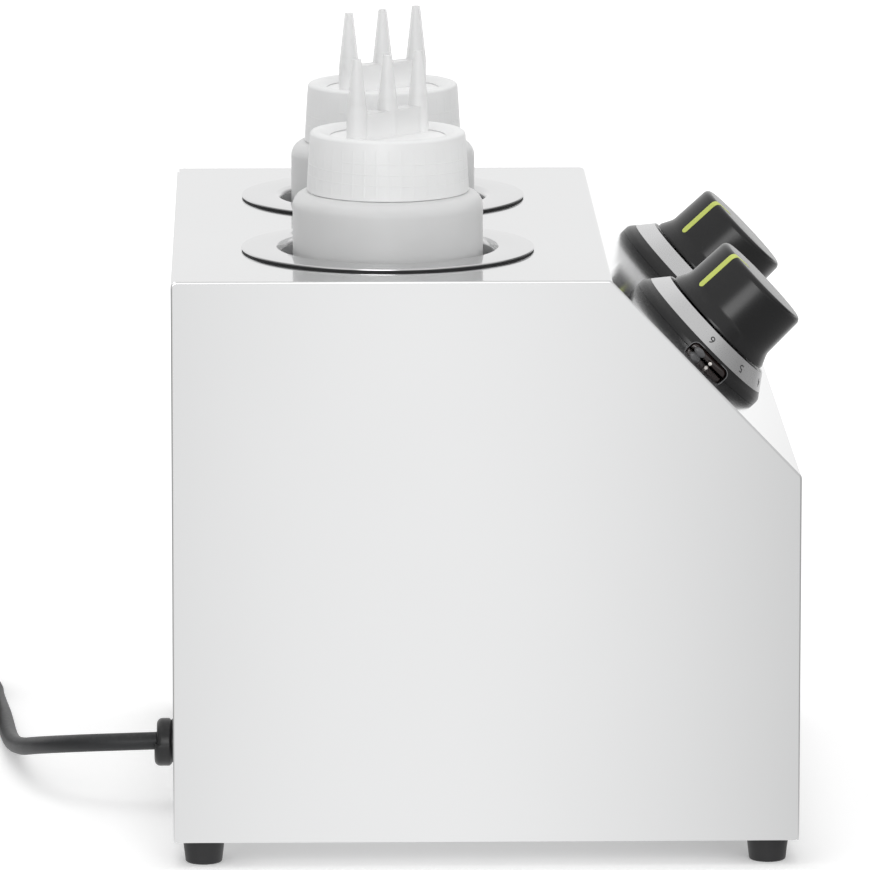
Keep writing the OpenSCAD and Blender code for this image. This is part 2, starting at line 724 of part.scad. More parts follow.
function capillary_path(side) = [
  [side * unit_pitch / 2 + bulb_side, bulb_front_y + 1, bulb_z],
  [side * unit_pitch / 2 + bulb_side, bulb_front_y - 12, bulb_z],
  [side * unit_pitch / 2 + bulb_side, bulb_front_y - 30, bulb_z + 8],
  [side * unit_pitch / 2 + bulb_side, bulb_front_y - 48, bulb_z + 34],
  slope_point(side, [bulb_side, -stat_l / 2 - 18, stat_bottom + 5]),
  slope_point(side, [bulb_side, -stat_l / 2, stat_bottom + 5])];

module sensing_bulb(side) color("goldenrod") {
  translate([side * unit_pitch / 2 + bulb_side, bulb_front_y, bulb_z]) rotate([-90, 0, 0])
    cylinder(h = bulb_l, r = bulb_r);
  tube(smooth(capillary_path(side)), capillary_r, 6, [1, 0, 0]);
}

module bulb_clip(side) color("silver")
  translate([side * unit_pitch / 2 + bulb_side, well_y, 0]) difference() {
    union() {
      translate([0, clip_w / 2, bulb_z]) rotate([90, 0, 0])
        cylinder(h = clip_w, r = bulb_r + clip_gap + clip_t);
      translate([-bulb_r - clip_gap - clip_t - clip_foot, -clip_w / 2, well_under_z - clip_t])
        cube([2 * (bulb_r + clip_gap + clip_t + clip_foot), clip_w, clip_t]);
      translate([-bulb_r - clip_gap - clip_t, -clip_w / 2, bulb_z])
        cube([2 * (bulb_r + clip_gap + clip_t), clip_w, well_under_z - bulb_z]);
    }
    translate([0, clip_w, bulb_z]) rotate([90, 0, 0])
      cylinder(h = 2 * clip_w, r = bulb_r + clip_gap);
    translate([-bulb_r - clip_gap, -clip_w, bulb_z])
      cube([2 * (bulb_r + clip_gap), 2 * clip_w, bulb_r + 2]);
    translate([-2 * bulb_r - 3 * clip_foot, -clip_w, well_under_z])
      cube([4 * bulb_r + 6 * clip_foot, 2 * clip_w, bulb_r + 2]);
  }

module safety_cutout(side) color("dimgray")
  translate([side * unit_pitch / 2 - cutout_side, well_y, well_under_z]) {
    translate([0, 0, -cutout_plate_t]) linear_extrude(cutout_plate_t)
      square([1.5 * cutout_r, 3 * cutout_r], center = true);
    translate([0, 0, -cutout_h]) cylinder(h = cutout_h - cutout_plate_t / 2, r = cutout_r);
    for (y = [-1, 1]) translate([0, y * cutout_r / 2, -cutout_h - spade_h / 2])
      cube([spade_w, spade_t, spade_h + 1], center = true);
  }

// Thermostats

module thermostat(side) color("saddlebrown") on_slope(side) difference() {
  union() {
    translate([0, 0, -sheet_t - bracket_t / 2])
      cube([2 * stat_screw_side + 12, stat_w / 2, bracket_t], center = true);
    translate([0, 0, stat_top - stat_h / 2]) cube([stat_w, stat_l, stat_h], center = true);
    for (x = [-1, 1]) for (y = [-1, 1])
      translate([x * spade_x, y * spade_y, stat_bottom - spade_h / 2])
        cube([spade_w, spade_t, spade_h + 1], center = true);
  }
  translate([0, 0, shaft_low - 0.5]) cylinder(h = stat_h, r = shaft_r + shaft_gap);
  for (x = [-1, 1]) translate([x * stat_screw_side, 0, -stat_screw_l - 1])
    cylinder(h = stat_screw_l + 1, r = stat_screw_r + screw_gap);
}

module thermostat_screws() color("silver")
  for (side = [left, right]) on_slope(side) for (x = [-1, 1])
    translate([x * stat_screw_side, 0, 0]) {
      cylinder(h = stat_screw_r, r = 1.8 * stat_screw_r);
      translate([0, 0, -stat_screw_l]) cylinder(h = stat_screw_l + eps, r = stat_screw_r);
    }

module d_rod(r, flat, low, high) difference() {
  translate([0, 0, low]) cylinder(h = high - low, r = r);
  translate([-r, r - flat, knob_low]) cube([2 * r, r, high]);
}

module thermostat_shaft(side) color("silver") on_dial(side)
  d_rod(shaft_r, shaft_flat, shaft_low, shaft_out);

// Bezels

scale_face = [[scale_r, scale_low], [scale_in_r, scale_high]];
scale_back = rounded_line(scale_face, [], scale_t);
bezel_top = scale_back[1][1];
window_half_a = asin((window_w / 2 - lens_gap) / lens_r);

module bezel(side) color("#1c1c1c") on_slope(side) difference() {
  rotate_extrude() polygon(concat(
    corner([bezel_hollow_r, 0], [bezel_r, 0], scale_face[0], bezel_edge_r),
    [scale_face[0], scale_back[0], scale_back[1],
      [bezel_hole_r, bezel_top], [bezel_hole_r, bezel_top - bezel_top_t],
      [scale_in_r - bezel_top_t, bezel_top - bezel_top_t], [bezel_hollow_r, scale_low],
      [bezel_hollow_r, 0]]));
  translate([-bezel_r - 1, 0, 0]) rotate([90, 0, 90]) linear_extrude(bezel_r + 1 - bezel_hollow_r + 2)
    polygon(rounded_line(
      [[-window_w / 2, -1], [-window_w / 2, window_h], [window_w / 2, window_h], [window_w / 2, -1]],
      [window_r, window_r]));
}

module scale_ring(side) color("silver") on_slope(side)
  rotate_extrude() sheet_section(scale_face, [], scale_t);

module pilot_lens(side) color("#301010") on_slope(side) {
  rotate([0, 0, 180 - window_half_a]) rotate_extrude(angle = 2 * window_half_a)
    polygon(rounded_line(
      [[bezel_hollow_r - 1, ring_gap], [lens_r, ring_gap], [lens_r, window_h - lens_gap],
        [bezel_hollow_r - 1, window_h - lens_gap]],
      [0.6, 1.6]));
  rotate([0, 0, 180 - 1.4 * window_half_a]) rotate_extrude(angle = 2.8 * window_half_a)
    translate([bezel_hollow_r - lens_rim_t - ring_gap, ring_gap]) square([lens_rim_t, window_h]);
}

module pilot_lamp(side) color("orange") on_slope(side) {
  translate([lamp_x, lamp_l / 2, lamp_r + ring_gap]) rotate([90, 0, 0]) cylinder(h = lamp_l, r = lamp_r);
  for (y = [-1, 1]) translate([lamp_x, y * lamp_l / 3, -9]) cylinder(h = 9 + lamp_r, r = 0.5);
}

// Knobs

knob_line = [[knob_skirt_r, knob_low], [knob_skirt_r, knob_low + knob_skirt_h],
  [knob_neck_r, knob_low + knob_skirt_h + knob_flare_h], [knob_top_r, knob_h], [0, knob_h]];
knob_radii = [0.5, 6, knob_edge_r];

module knob_solid(t) rotate_extrude()
  polygon(concat([[0, knob_low + t]], rounded_line(knob_line, knob_radii, t)));

module pointer_space(grow) {
  w = pointer_w + 2 * grow;
  translate([-w / 2, knob_top_r - pointer_top_l - grow, pointer_low - grow])
    cube([w, knob_skirt_r + pointer_top_l, knob_h]);
}

module knob(side) color("#202020") on_dial(side) difference() {
  knob_solid(0);
  difference() {
    pointer_space(0.02);
    knob_solid(pointer_t);
  }
  difference() {
    translate([0, 0, knob_low - 1]) cylinder(h = knob_h - knob_low + 1 - 1.5 * knob_wall,
      r = knob_top_r - knob_wall);
    cylinder(h = knob_h, r = knob_hub_r);
  }
  d_rod(shaft_r + shaft_gap, shaft_flat, 0, shaft_out + shaft_gap);
}

module knob_pointer(side) color("#cdd76e") on_dial(side) difference() {
  intersection() {
    pointer_space(0);
    knob_solid(-pointer_up);
  }
  knob_solid(pointer_t);
}

// Bottles, collars and nozzles

module bottle(side) color("#f4f4f0", 0.8) at_well(side) {
  rotate_extrude() sheet_section(
    [[0, bottle_low_z], [bottle_r, bottle_low_z], [bottle_r, shoulder_z], [neck_r, shoulder_z],
      [neck_r, rim_z]],
    [bottle_corner_r, shoulder_r, 0.8], bottle_t);
  ridge(neck_r, thread_h, shoulder_z + thread_up, neck_turns);
}

module collar(side) color("#f0f0ee", 0.9) at_well(side) {
  rotate_extrude() polygon(concat(
    rounded_line([[collar_in_r, collar_low_z], [collar_r, collar_low_z], [collar_top_r, collar_z],
      [collar_mouth_r, collar_z], [collar_mouth_r, collar_under_z]],
      [0.4, collar_edge_r, collar_edge_r]),
    [[collar_in_r, collar_under_z]]));
  ridge(collar_in_r, -thread_h, shoulder_z + thread_up + thread_pitch / 2, collar_turns);
}

module spout_row(r, low, high) {
  for (i = [-1:1]) translate([i * spout_pitch, 0, low]) cylinder(h = high - low, r = r);
  translate([-spout_pitch, -r + bar_in, low]) cube([2 * spout_pitch, 2 * (r - bar_in), high - low]);
}

module nozzle(side, angle) color("#f4f4f2", 0.9) at_well(side) rotate([0, 0, angle]) difference() {
  union() {
    translate([0, 0, disc_z]) cylinder(h = disc_t, r = disc_r);
    spout_row(spout_r, disc_z, collar_z + manifold_up);
    for (i = [-1:1]) translate([i * spout_pitch, 0, collar_z + manifold_up])
      cylinder(h = spout_up - manifold_up, r1 = spout_r - bar_in, r2 = spout_tip_r);
  }
  spout_row(spout_r - spout_t, disc_z - 1, collar_z + manifold_up - spout_t);
  for (i = [-1:1]) translate([i * spout_pitch, 0, collar_z + manifold_up - 2 * spout_t])
    cylinder(h = spout_up - manifold_up + 3 * spout_t,
      r1 = spout_r - bar_in - spout_t, r2 = spout_tip_r - spout_tip_t);
}

// Feet

module foot_shape() rotate_extrude() polygon(concat(
  rounded_line([[foot_head_r + 1, 0], [foot_low_r, 0], [foot_r, foot_h], [foot_screw_r + screw_gap, foot_h]],
    [0.8, 0.3]),
  [[foot_screw_r + screw_gap, foot_recess_h], [foot_head_r + 1, foot_recess_h]]));

module at_feet() for (x = [-foot_x, foot_x]) for (y = [-foot_y, foot_y]) translate([x, y, 0]) children();

module feet() color("#181818") at_feet() foot_shape();

module foot_fasteners() color("silver") at_feet() {
  translate([0, 0, foot_recess_h - foot_head_h]) cylinder(h = foot_head_h, r = foot_head_r);
  translate([0, 0, foot_recess_h - eps])
    cylinder(h = base_top_z + foot_nut_h + 1 - foot_recess_h, r = foot_screw_r);
  translate([0, 0, base_top_z]) cylinder(h = foot_nut_h, r = 2.1 * foot_screw_r, $fn = 6);
}

// Mains entry and wiring

module gland_half(t) rotate_extrude() polygon(rounded_line(
  [[0, gland_flange_t - eps], [gland_head_r - 1, gland_flange_t - eps], [gland_head_r, gland_flange_t + 1],
    [gland_head_r, t], [0, t]], [0.2, 0.8, 2.4]));

module strain_relief() color("#141414")
  translate([gland_x, back_y, gland_z]) rotate([-90, 0, 0]) difference() {
    union() {
      cylinder(h = gland_flange_t, r = gland_flange_r);
      intersection() {
        gland_half(gland_head_t);
        translate([-gland_head_r, -2 * gland_head_r, 0])
          cube([2 * gland_head_r, 2 * gland_head_r, 2 * gland_head_t]);
      }
      translate([0, gland_step, 0]) intersection() {
        gland_half(gland_head_t + gland_step);
        translate([-gland_head_r, -gland_step, 0])
          cube([2 * gland_head_r, 2 * gland_head_r, 2 * gland_head_t]);
      }
      translate([0, 0, -inner_t]) cylinder(h = inner_t + eps, r = gland_neck_r);
      translate([0, 0, -gland_in_l])
        cylinder(h = gland_in_l - inner_t + eps, r1 = gland_end_r, r2 = gland_neck_r + 2 * gland_gap);
    }
    translate([0, 0, -gland_in_l - 1]) cylinder(h = gland_in_l + 1 + gland_head_t - 2, r = cord_r + eps);
  }

lead_start_y = back_y + gland_head_t - 2;
lead_cut_y = block_y + block_d / 2 + 7;
module inner_lead() color("#1a1a1a") {
  translate([gland_x, lead_start_y, gland_z]) rotate([90, 0, 0])
    cylinder(h = lead_start_y - lead_cut_y, r = cord_r);
  for (i = [-1:1]) tube(smooth([
      [gland_x + 1.6 * i, lead_cut_y + 1, gland_z],
      [gland_x + 2.5 * i, lead_cut_y - 1.5, gland_z - 1.5],
      [gland_x + pole_pitch * i, block_y + block_d / 2 + 2, pole_z + 1.5],
      [gland_x + pole_pitch * i, block_y + block_d / 2, pole_z]]),
    wire_r, 6, [0.31, 0.2, 0.93]);
}

module terminal_block() color("ivory") translate([gland_x, block_y, base_top_z]) difference() {
  translate([-block_w / 2, -block_d / 2, 0]) cube([block_w, block_d, block_h]);
  for (i = [-1:1]) for (y = [-1, 1])
    translate([pole_pitch * i, y * block_d / 4, block_h / 2]) cylinder(h = block_h, r = 2.6);
}

module terminal_screws() color("goldenrod") translate([gland_x, block_y, base_top_z])
  for (i = [-1:1]) for (y = [-1, 1])
    translate([pole_pitch * i, y * block_d / 4, block_h / 2]) cylinder(h = block_h / 2 - 2, r = 2.45);

module earth_stud() color("goldenrod") translate([earth_x, block_y, 0]) {
  translate([0, 0, bottom_z - 2]) cylinder(h = 2, r = 2 * earth_r);
  translate([0, 0, bottom_z - eps]) cylinder(h = sheet_t + earth_h, r = earth_r);
  translate([0, 0, base_top_z]) cylinder(h = 4, r = 1.8 * earth_r, $fn = 6);
}

function pole_out(i) = [gland_x + pole_pitch * i, block_y - block_d / 2, pole_z];
function stat_spade(side, x, y) = slope_point(side, [x * spade_x, y * spade_y, stat_bottom - spade_h]);
function cutout_spade(side, y) =
  [side * unit_pitch / 2 - cutout_side, well_y + y * cutout_r / 2, well_under_z - cutout_h - spade_h];
function heater_stud(side, x) = [side * unit_pitch / 2 + x * stud_side,
  well_y + heater_in_r * cos(asin(stud_side / heater_in_r)) + heater_t / 2 + stud_l, heater_z + heater_h / 2];
low_z = base_top_z + 6;
wire_side = wire_r + 0.15;
far_y = well_y + wool_out_r + 4;

module wiring() color("firebrick") {
  for (side = [left, right]) {
    // From the live terminal to the thermostat
    wire([pole_out(-1) + [wire_side * side, 0, 0], pole_out(-1) + [2.8 * side, -7, -1],
      pole_out(-1) + [6 * side, -18, -4], pole_out(-1) + [26 * side, -34, -5],
      [side * unit_pitch / 2 - 6, 10, low_z], [side * unit_pitch / 2 - 12, -50, low_z + 30],
      stat_spade(side, -1, -1) + [0, 4, -22], stat_spade(side, -1, -1)]);
    // From the thermostat to the safety cutout
    wire([stat_spade(side, -1, 1), stat_spade(side, -1, 1) + [-4, 5, -18],
      [side * unit_pitch / 2 - 20, -30, well_under_z - 4],
      [side * unit_pitch / 2 - cutout_side, 10, well_under_z - cutout_h - spade_h - 12],
      cutout_spade(side, -1) + [0, -3, -4], cutout_spade(side, -1)]);
    // From the safety cutout to the heater
    wire([cutout_spade(side, 1), cutout_spade(side, 1) + [-1, 4, -5],
      [side * unit_pitch / 2 - 19, far_y - 16, well_under_z - 14],
      [side * unit_pitch / 2 - 18, far_y, well_under_z + 12],
      heater_stud(side, -1) + [-3, 4, -16], heater_stud(side, -1) + [0, 0.5, 0]]);
    // From the heater back to the neutral terminal
    wire([heater_stud(side, 1) + [0, 0.5, 0], heater_stud(side, 1) + [3, 4, -16],
      [side * unit_pitch / 2 + 18, far_y, well_under_z + 6],
      [side * unit_pitch / 2 + 14, far_y - 22, well_under_z - 22],
      pole_out(0) + [side * 14, -17, 12],
      pole_out(0) + [side * 3.4, -7, 3], pole_out(0) + [side * wire_side, 0, 0]]);
  }
  // From the earth terminal to the earth stud
  wire([pole_out(1), pole_out(1) + [2, -6, 2], [earth_x - 14, block_y - 12, base_top_z + 8],
    [earth_x - 4, block_y - 6, base_top_z + 6], [earth_x - earth_r, block_y, base_top_z + 6]]);
}

// Cord

module mains_cord() color("#161616") tube(cord_route, cord_r, 10, [0, 0, 1]);

module cord_coil() color("#161616") translate([coil_x, coil_y, coil_z]) rotate_extrude()
  translate([coil_mid_r, 0]) polygon(rounded_loop(tie_line, coil_round));

tie_a = 35;
tie_turn = tie_w / coil_mid_r * 180 / PI;
module cord_tie() color("#303030")
  translate([coil_x, coil_y, coil_z]) rotate([0, 0, tie_a]) rotate_extrude(angle = tie_turn)
    translate([coil_mid_r, 0]) difference() {
      polygon(rounded_loop(tie_line, coil_round, -tie_gap - tie_t));
      polygon(rounded_loop(tie_line, coil_round, -tie_gap));
    }

module plug_lead() color("#161616") tube(lead_route, cord_r, 10, [0, 0, 1]);

module at_plug() translate(plug_point) rotate([0, 0, plug_angle]) rotate([0, 90, 0]) children();

module plug() color("#161616") at_plug() difference() {
  rotate_extrude() polygon(rounded_line(
    [[0, 0], [cord_r + 1.4, 0], [cord_r + 3.6, sleeve_l], [plug_r - 5, sleeve_l + 2],
      [plug_r, sleeve_l + 10], [plug_r, sleeve_l + plug_l], [0, sleeve_l + plug_l]],
    [0.4, 1.5, 3, 5, 1]));
  for (y = [-1, 1]) translate([0, y * pin_pitch / 2, sleeve_l + plug_l - 9])
    cylinder(h = 10, r = pin_r + 0.05);
}

module plug_pins() color("silver") at_plug()
  for (y = [-1, 1]) translate([0, y * pin_pitch / 2, sleeve_l + plug_l - 8.5]) {
    cylinder(h = 8.5 + pin_l - 1, r = pin_r);
    translate([0, 0, 7.5 + pin_l]) cylinder(h = 1, r1 = pin_r, r2 = pin_r - 0.8);
  }

side_panel(left);  // side_panel_left
side_panel(right);  // side_panel_right
top_front_panel();
back_panel();
base_plate();
back_screws();
base_screws();
well(left);  // well_left
well(right);  // well_right
well_seal(left);  // well_seal_left
well_seal(right);  // well_seal_right
band_heater(left);  // band_heater_left
band_heater(right);  // band_heater_right
heater_clamp(left);  // heater_clamp_left
heater_clamp(right);  // heater_clamp_right
insulation(left);  // insulation_left
insulation(right);  // insulation_right
sensing_bulb(left);  // sensing_bulb_left
sensing_bulb(right);  // sensing_bulb_right
bulb_clip(left);  // bulb_clip_left
bulb_clip(right);  // bulb_clip_right
safety_cutout(left);  // safety_cutout_left
safety_cutout(right);  // safety_cutout_right
thermostat(left);  // thermostat_left
thermostat(right);  // thermostat_right
thermostat_screws();
thermostat_shaft(left);  // thermostat_shaft_left
thermostat_shaft(right);  // thermostat_shaft_right
bezel(left);  // bezel_left
bezel(right);  // bezel_right
scale_ring(left);  // scale_ring_left
scale_ring(right);  // scale_ring_right
pilot_lens(left);  // pilot_lens_left
pilot_lens(right);  // pilot_lens_right
pilot_lamp(left);  // pilot_lamp_left
pilot_lamp(right);  // pilot_lamp_right
knob(left);  // knob_left
knob(right);  // knob_right
knob_pointer(left);  // knob_pointer_left
knob_pointer(right);  // knob_pointer_right
bottle(left);  // bottle_left
bottle(right);  // bottle_right
nozzle(left, left_row_angle);  // nozzle_left
nozzle(right, right_row_angle);  // nozzle_right
collar(left);  // collar_left
collar(right);  // collar_right
feet();
foot_fasteners();
strain_relief();
inner_lead();
terminal_block();
terminal_screws();
earth_stud();
wiring();
mains_cord();
cord_coil();
cord_tie();
plug_lead();
plug();
plug_pins();
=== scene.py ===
# %% [markdown]
# A countertop warmer for two squeeze bottles of hot topping. The construction comes in as a fixed frame: each part
# is already at its real size and place. What is left to make here is how it looks, so this notebook goes from the
# camera to the cord, the finishes, the smooth forms and last the small things that repeat.

# %% Load the frame
import json
import math

import bpy
import bmesh
from mathutils import Matrix, Vector


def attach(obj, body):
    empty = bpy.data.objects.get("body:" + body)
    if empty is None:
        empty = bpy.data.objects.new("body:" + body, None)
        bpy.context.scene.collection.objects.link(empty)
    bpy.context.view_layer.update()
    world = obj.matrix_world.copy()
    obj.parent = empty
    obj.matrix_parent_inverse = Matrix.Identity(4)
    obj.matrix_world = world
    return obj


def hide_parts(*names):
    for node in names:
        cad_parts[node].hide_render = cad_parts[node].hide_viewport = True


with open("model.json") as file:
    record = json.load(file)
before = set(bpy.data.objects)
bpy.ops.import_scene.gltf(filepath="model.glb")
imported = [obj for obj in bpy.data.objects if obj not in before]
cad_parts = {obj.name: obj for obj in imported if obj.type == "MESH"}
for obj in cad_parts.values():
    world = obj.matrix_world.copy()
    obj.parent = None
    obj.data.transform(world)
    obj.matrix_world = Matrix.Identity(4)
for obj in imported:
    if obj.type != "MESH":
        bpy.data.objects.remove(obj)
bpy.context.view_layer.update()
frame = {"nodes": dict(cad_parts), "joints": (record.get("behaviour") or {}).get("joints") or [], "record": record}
record = frame["record"]
joints = {joint["name"]: joint for joint in frame["joints"]}
MM = 0.001
SIDES = ("left", "right")

# %% [markdown]
# The photograph was taken from the side, from far away and a little above, with a long lens: the edges that run
# away from the camera hardly come together. The camera's place was worked out from the corners of the case.

# %% Camera
CAMERA_PLACE = (-3.44623, 0.08943, 0.7822)
CAMERA_YAW = math.radians(1.1957)
CAMERA_DOWN = math.radians(10.4285)
CAMERA_LENS = 350.36

ahead = Vector((
    math.cos(CAMERA_YAW) * math.cos(CAMERA_DOWN),
    -math.sin(CAMERA_YAW) * math.cos(CAMERA_DOWN),
    -math.sin(CAMERA_DOWN)))
camera_data = bpy.data.cameras.new("camera")
camera_data.lens = CAMERA_LENS
camera_data.sensor_fit = "HORIZONTAL"
camera_data.sensor_width = 36
camera_data.clip_end = 60
camera = bpy.data.objects.new("camera", camera_data)
camera.matrix_world = Matrix.Translation(CAMERA_PLACE) @ ahead.to_track_quat("-Z", "Y").to_matrix().to_4x4()
bpy.context.scene.collection.objects.link(camera)
bpy.context.scene.camera = camera
bpy.context.scene.view_settings.view_transform = "Standard"
print("camera", round((Vector(CAMERA_PLACE)).length, 3), "m from the origin")

# %% [markdown]
# The mains cord is one length of round rubber cable. It leaves its gland straight, comes down to the table in a
# loose curve, is wound into a round coil behind the case, and ends in a plug that lies beside the coil. A curve
# with a round bevel is the plainest way to make it: the points where it lies loose are listed, and the
# turns of the coil are worked out, one diameter apart, so that they lie beside and on each other. One drawback is
# left: Blender adds the radius factor of a curve's points, 1 m, to the curve's box. The tube is no thicker for it,
# but a box that takes the cord in reaches up to a metre too far on each side.

# %% The points where the cord lies loose
CORD_R = 3.7 * MM
CORD_START = (
    (-0.04, 0.1328, 0.0277), (-0.0395, 0.146, 0.0272), (-0.035, 0.16, 0.0258), (-0.026, 0.171, 0.0234),
    (-0.014, 0.179, 0.0204), (0, 0.1845, 0.017), (0.015, 0.1885, 0.0134), (0.031, 0.1915, 0.0102),
    (0.048, 0.194, 0.0074), (0.066, 0.196, 0.0052), (0.084, 0.1977, 0.004), (0.103, 0.1993, 0.0037),
    (0.122, 0.201, 0.0037), (0.14, 0.203, 0.0038), (0.157, 0.205, 0.0042), (0.173, 0.2065, 0.0048))
CORD_END = (
    (0.172, 0.296, 0.0194), (0.158, 0.2966, 0.0193), (0.144, 0.2962, 0.019), (0.131, 0.2946, 0.0187),
    (0.119, 0.292, 0.0185), (0.108, 0.2888, 0.0185), (0.098, 0.2854, 0.0185))

# %% The turns of the coil
COIL_CENTRE = Vector((0.178, 0.2526, 0))
COIL_LOW = 1.05 * MM + CORD_R
OUTER = 44.8 * MM
INNER = OUTER - 2 * CORD_R
COIL_TURNS = ((OUTER, 0), (INNER, 0), (INNER, 1), (OUTER, 1), (INNER, 2), (OUTER, 2))
POINTS_IN_TURN = 20
CROSSING = 0.3


def eased(share):
    share = min(1, max(0, share))
    return share * share * (3 - 2 * share)


def coil_points():
    points = []
    for number, (radius, layer) in enumerate(COIL_TURNS):
        last = number == len(COIL_TURNS) - 1
        next_radius, next_layer = COIL_TURNS[number if last else number + 1]
        for step in range(POINTS_IN_TURN // 2 + 1 if last else POINTS_IN_TURN):
            share = step / POINTS_IN_TURN
            angle = -math.pi / 2 + 2 * math.pi * share
            change = eased((share - 1 + CROSSING) / CROSSING)
            reach = radius + (next_radius - radius) * change
            height = COIL_LOW + 2 * CORD_R * (layer + (next_layer - layer) * change)
            points.append(COIL_CENTRE + Vector((reach * math.cos(angle), reach * math.sin(angle), height)))
    return points


cord_points = [Vector(point) for point in CORD_START] + coil_points() + [Vector(point) for point in CORD_END]
print("cord points", len(cord_points))

# %% The cord itself


def curve_object(name, points, radius, sides=6):
    curve = bpy.data.curves.new(name, "CURVE")
    curve.dimensions = "3D"
    curve.bevel_depth = radius
    curve.bevel_resolution = sides
    curve.resolution_u = 4
    curve.use_fill_caps = True
    spline = curve.splines.new("BEZIER")
    spline.bezier_points.add(len(points) - 1)
    for knot, point in zip(spline.bezier_points, points):
        knot.co = point
        knot.handle_left_type = knot.handle_right_type = "AUTO"
    made = bpy.data.objects.new(name, curve)
    bpy.context.scene.collection.objects.link(made)
    return made


cord = curve_object("rubber_cord", cord_points, CORD_R)
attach(cord, "case")
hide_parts("mains_cord", "cord_coil", "plug_lead")

# %% [markdown]
# The light is a plain studio: an even pale world, a large soft lamp above and another one beside the camera. The
# background of the photograph is pure white, so the floor shows itself a little whiter to the camera than it is
# lit, and it still takes the soft shadow. Steel and gloss black show nothing of their own, only what stands round
# them. A real studio has dark corners and a window, so rays that come from a shiny surface see a world that is
# brightest beyond the object, has three dark areas, and has one soft window behind the camera. The floor that they
# see is bright straight before a side of the case and falls off beside it, as the steel of the photograph does.

# %% Helpers for node trees


def new_material(name):
    material = bpy.data.materials.new(name)
    material.use_nodes = True
    material.node_tree.nodes.clear()
    return material


def add_node(tree, kind, inputs=None, **settings):
    node = tree.nodes.new(kind)
    for key, value in settings.items():
        setattr(node, key, value)
    for key, value in (inputs or {}).items():
        if isinstance(value, bpy.types.NodeSocket):
            tree.links.new(value, node.inputs[key])
        else:
            node.inputs[key].default_value = value
    return node


def between(tree, value, low, high, out_low=0.0, out_high=1.0, ease="LINEAR"):
    return add_node(tree, "ShaderNodeMapRange", {
        "Value": value, "From Min": low, "From Max": high, "To Min": out_low, "To Max": out_high},
        interpolation_type=ease).outputs[0]


def maths(tree, operation, first, second=0.0):
    return add_node(tree, "ShaderNodeMath", {0: first, 1: second}, operation=operation).outputs[0]


def blended(tree, share, first, second):
    return add_node(tree, "ShaderNodeMix", {"Factor": share, 2: first, 3: second}).outputs[0]


# %% The world
DIFFUSE_WORLD = 0.68
world = bpy.data.worlds.new("studio")
bpy.context.scene.world = world
world.use_nodes = True
sky = world.node_tree
sky.nodes.clear()
toward = add_node(sky, "ShaderNodeTexCoord").outputs["Generated"]


def patch(azimuth, height, inner, outer):
    """1 within inner degrees of a direction, 0 beyond outer degrees of it."""
    turn, rise = math.radians(azimuth), math.radians(height)
    middle = (math.cos(turn) * math.cos(rise), math.sin(turn) * math.cos(rise), math.sin(rise))
    near = add_node(sky, "ShaderNodeVectorMath", {0: toward, 1: middle}, operation="DOT_PRODUCT").outputs["Value"]
    return between(sky, near, math.cos(math.radians(outer)), math.cos(math.radians(inner)), ease="SMOOTHSTEP")


# azimuth, height, inner and outer reach in degrees, and level
DARK_PATCHES = ((-56, -8, 14, 44, 0.2), (90, 0, 15, 50, 0.35), (-112, 0, 10, 40, 0.5))
SOFT_WINDOW = (171, 6, 7, 19)
WINDOW_LEVEL = 2.9
ROOM_LEVEL, BEYOND_LEVEL = 0.75, 0.93
room = blended(sky, patch(0, 10, 35, 80), ROOM_LEVEL, BEYOND_LEVEL)
for azimuth, height, inner, outer, level in DARK_PATCHES:
    room = maths(sky, "MULTIPLY", room, between(sky, patch(azimuth, height, inner, outer), 0, 1, 1.0, level))
room = maths(sky, "ADD", room, maths(sky, "MULTIPLY", patch(*SOFT_WINDOW), WINDOW_LEVEL))
rays = add_node(sky, "ShaderNodeLightPath").outputs
strength = blended(sky, rays["Is Glossy Ray"], DIFFUSE_WORLD, room)
strength = blended(sky, maths(sky, "MAXIMUM", rays["Is Camera Ray"], rays["Is Transmission Ray"]), strength, 1.0)
shine = add_node(sky, "ShaderNodeBackground", {"Color": (1, 1, 1, 1), "Strength": strength})
add_node(sky, "ShaderNodeOutputWorld", {"Surface": shine.outputs[0]})

# %% The floor
FLOOR_HALF = 9
CASE_HALF_X, CASE_HALF_Y = 0.15, 0.125
BRIGHTEST_Y = 0.09
STEEP_AT_SIDE, STEEP_IN_FRONT = 11.4, 1.5
BESIDE_TOP, BESIDE_LEAST = 1.04, 0.42
floor_mesh = bpy.data.meshes.new("floor")
corners = [(-FLOOR_HALF, -FLOOR_HALF), (FLOOR_HALF, -FLOOR_HALF), (FLOOR_HALF, FLOOR_HALF), (-FLOOR_HALF, FLOOR_HALF)]
floor_mesh.from_pydata([(x, y, 0) for x, y in corners], [], [(0, 1, 2, 3)])
floor = bpy.data.objects.new("floor", floor_mesh)
bpy.context.scene.collection.objects.link(floor)
floor_look = new_material("white_floor")
tree = floor_look.node_tree
rays = add_node(tree, "ShaderNodeLightPath").outputs
spot = add_node(tree, "ShaderNodeTexCoord").outputs["Object"]
spot_xyz = add_node(tree, "ShaderNodeSeparateXYZ", {0: spot}).outputs
away = add_node(tree, "ShaderNodeVectorMath", {0: spot}, operation="LENGTH").outputs["Value"]
fan = maths(tree, "ADD", maths(tree, "MULTIPLY", maths(tree, "ABSOLUTE", spot_xyz["X"]), 0.3), 0.955)
from_middle = maths(tree, "SUBTRACT", spot_xyz["Y"], BRIGHTEST_Y)
off_middle = maths(tree, "ADD", maths(tree, "DIVIDE", from_middle, fan), 0.065)
steep = between(tree, spot_xyz["X"], -0.1, 0.3, STEEP_AT_SIDE, STEEP_IN_FRONT)
falloff = maths(tree, "MULTIPLY", maths(tree, "MULTIPLY", off_middle, off_middle), steep)
beside = maths(tree, "MAXIMUM", maths(tree, "SUBTRACT", BESIDE_TOP, falloff), BESIDE_LEAST)
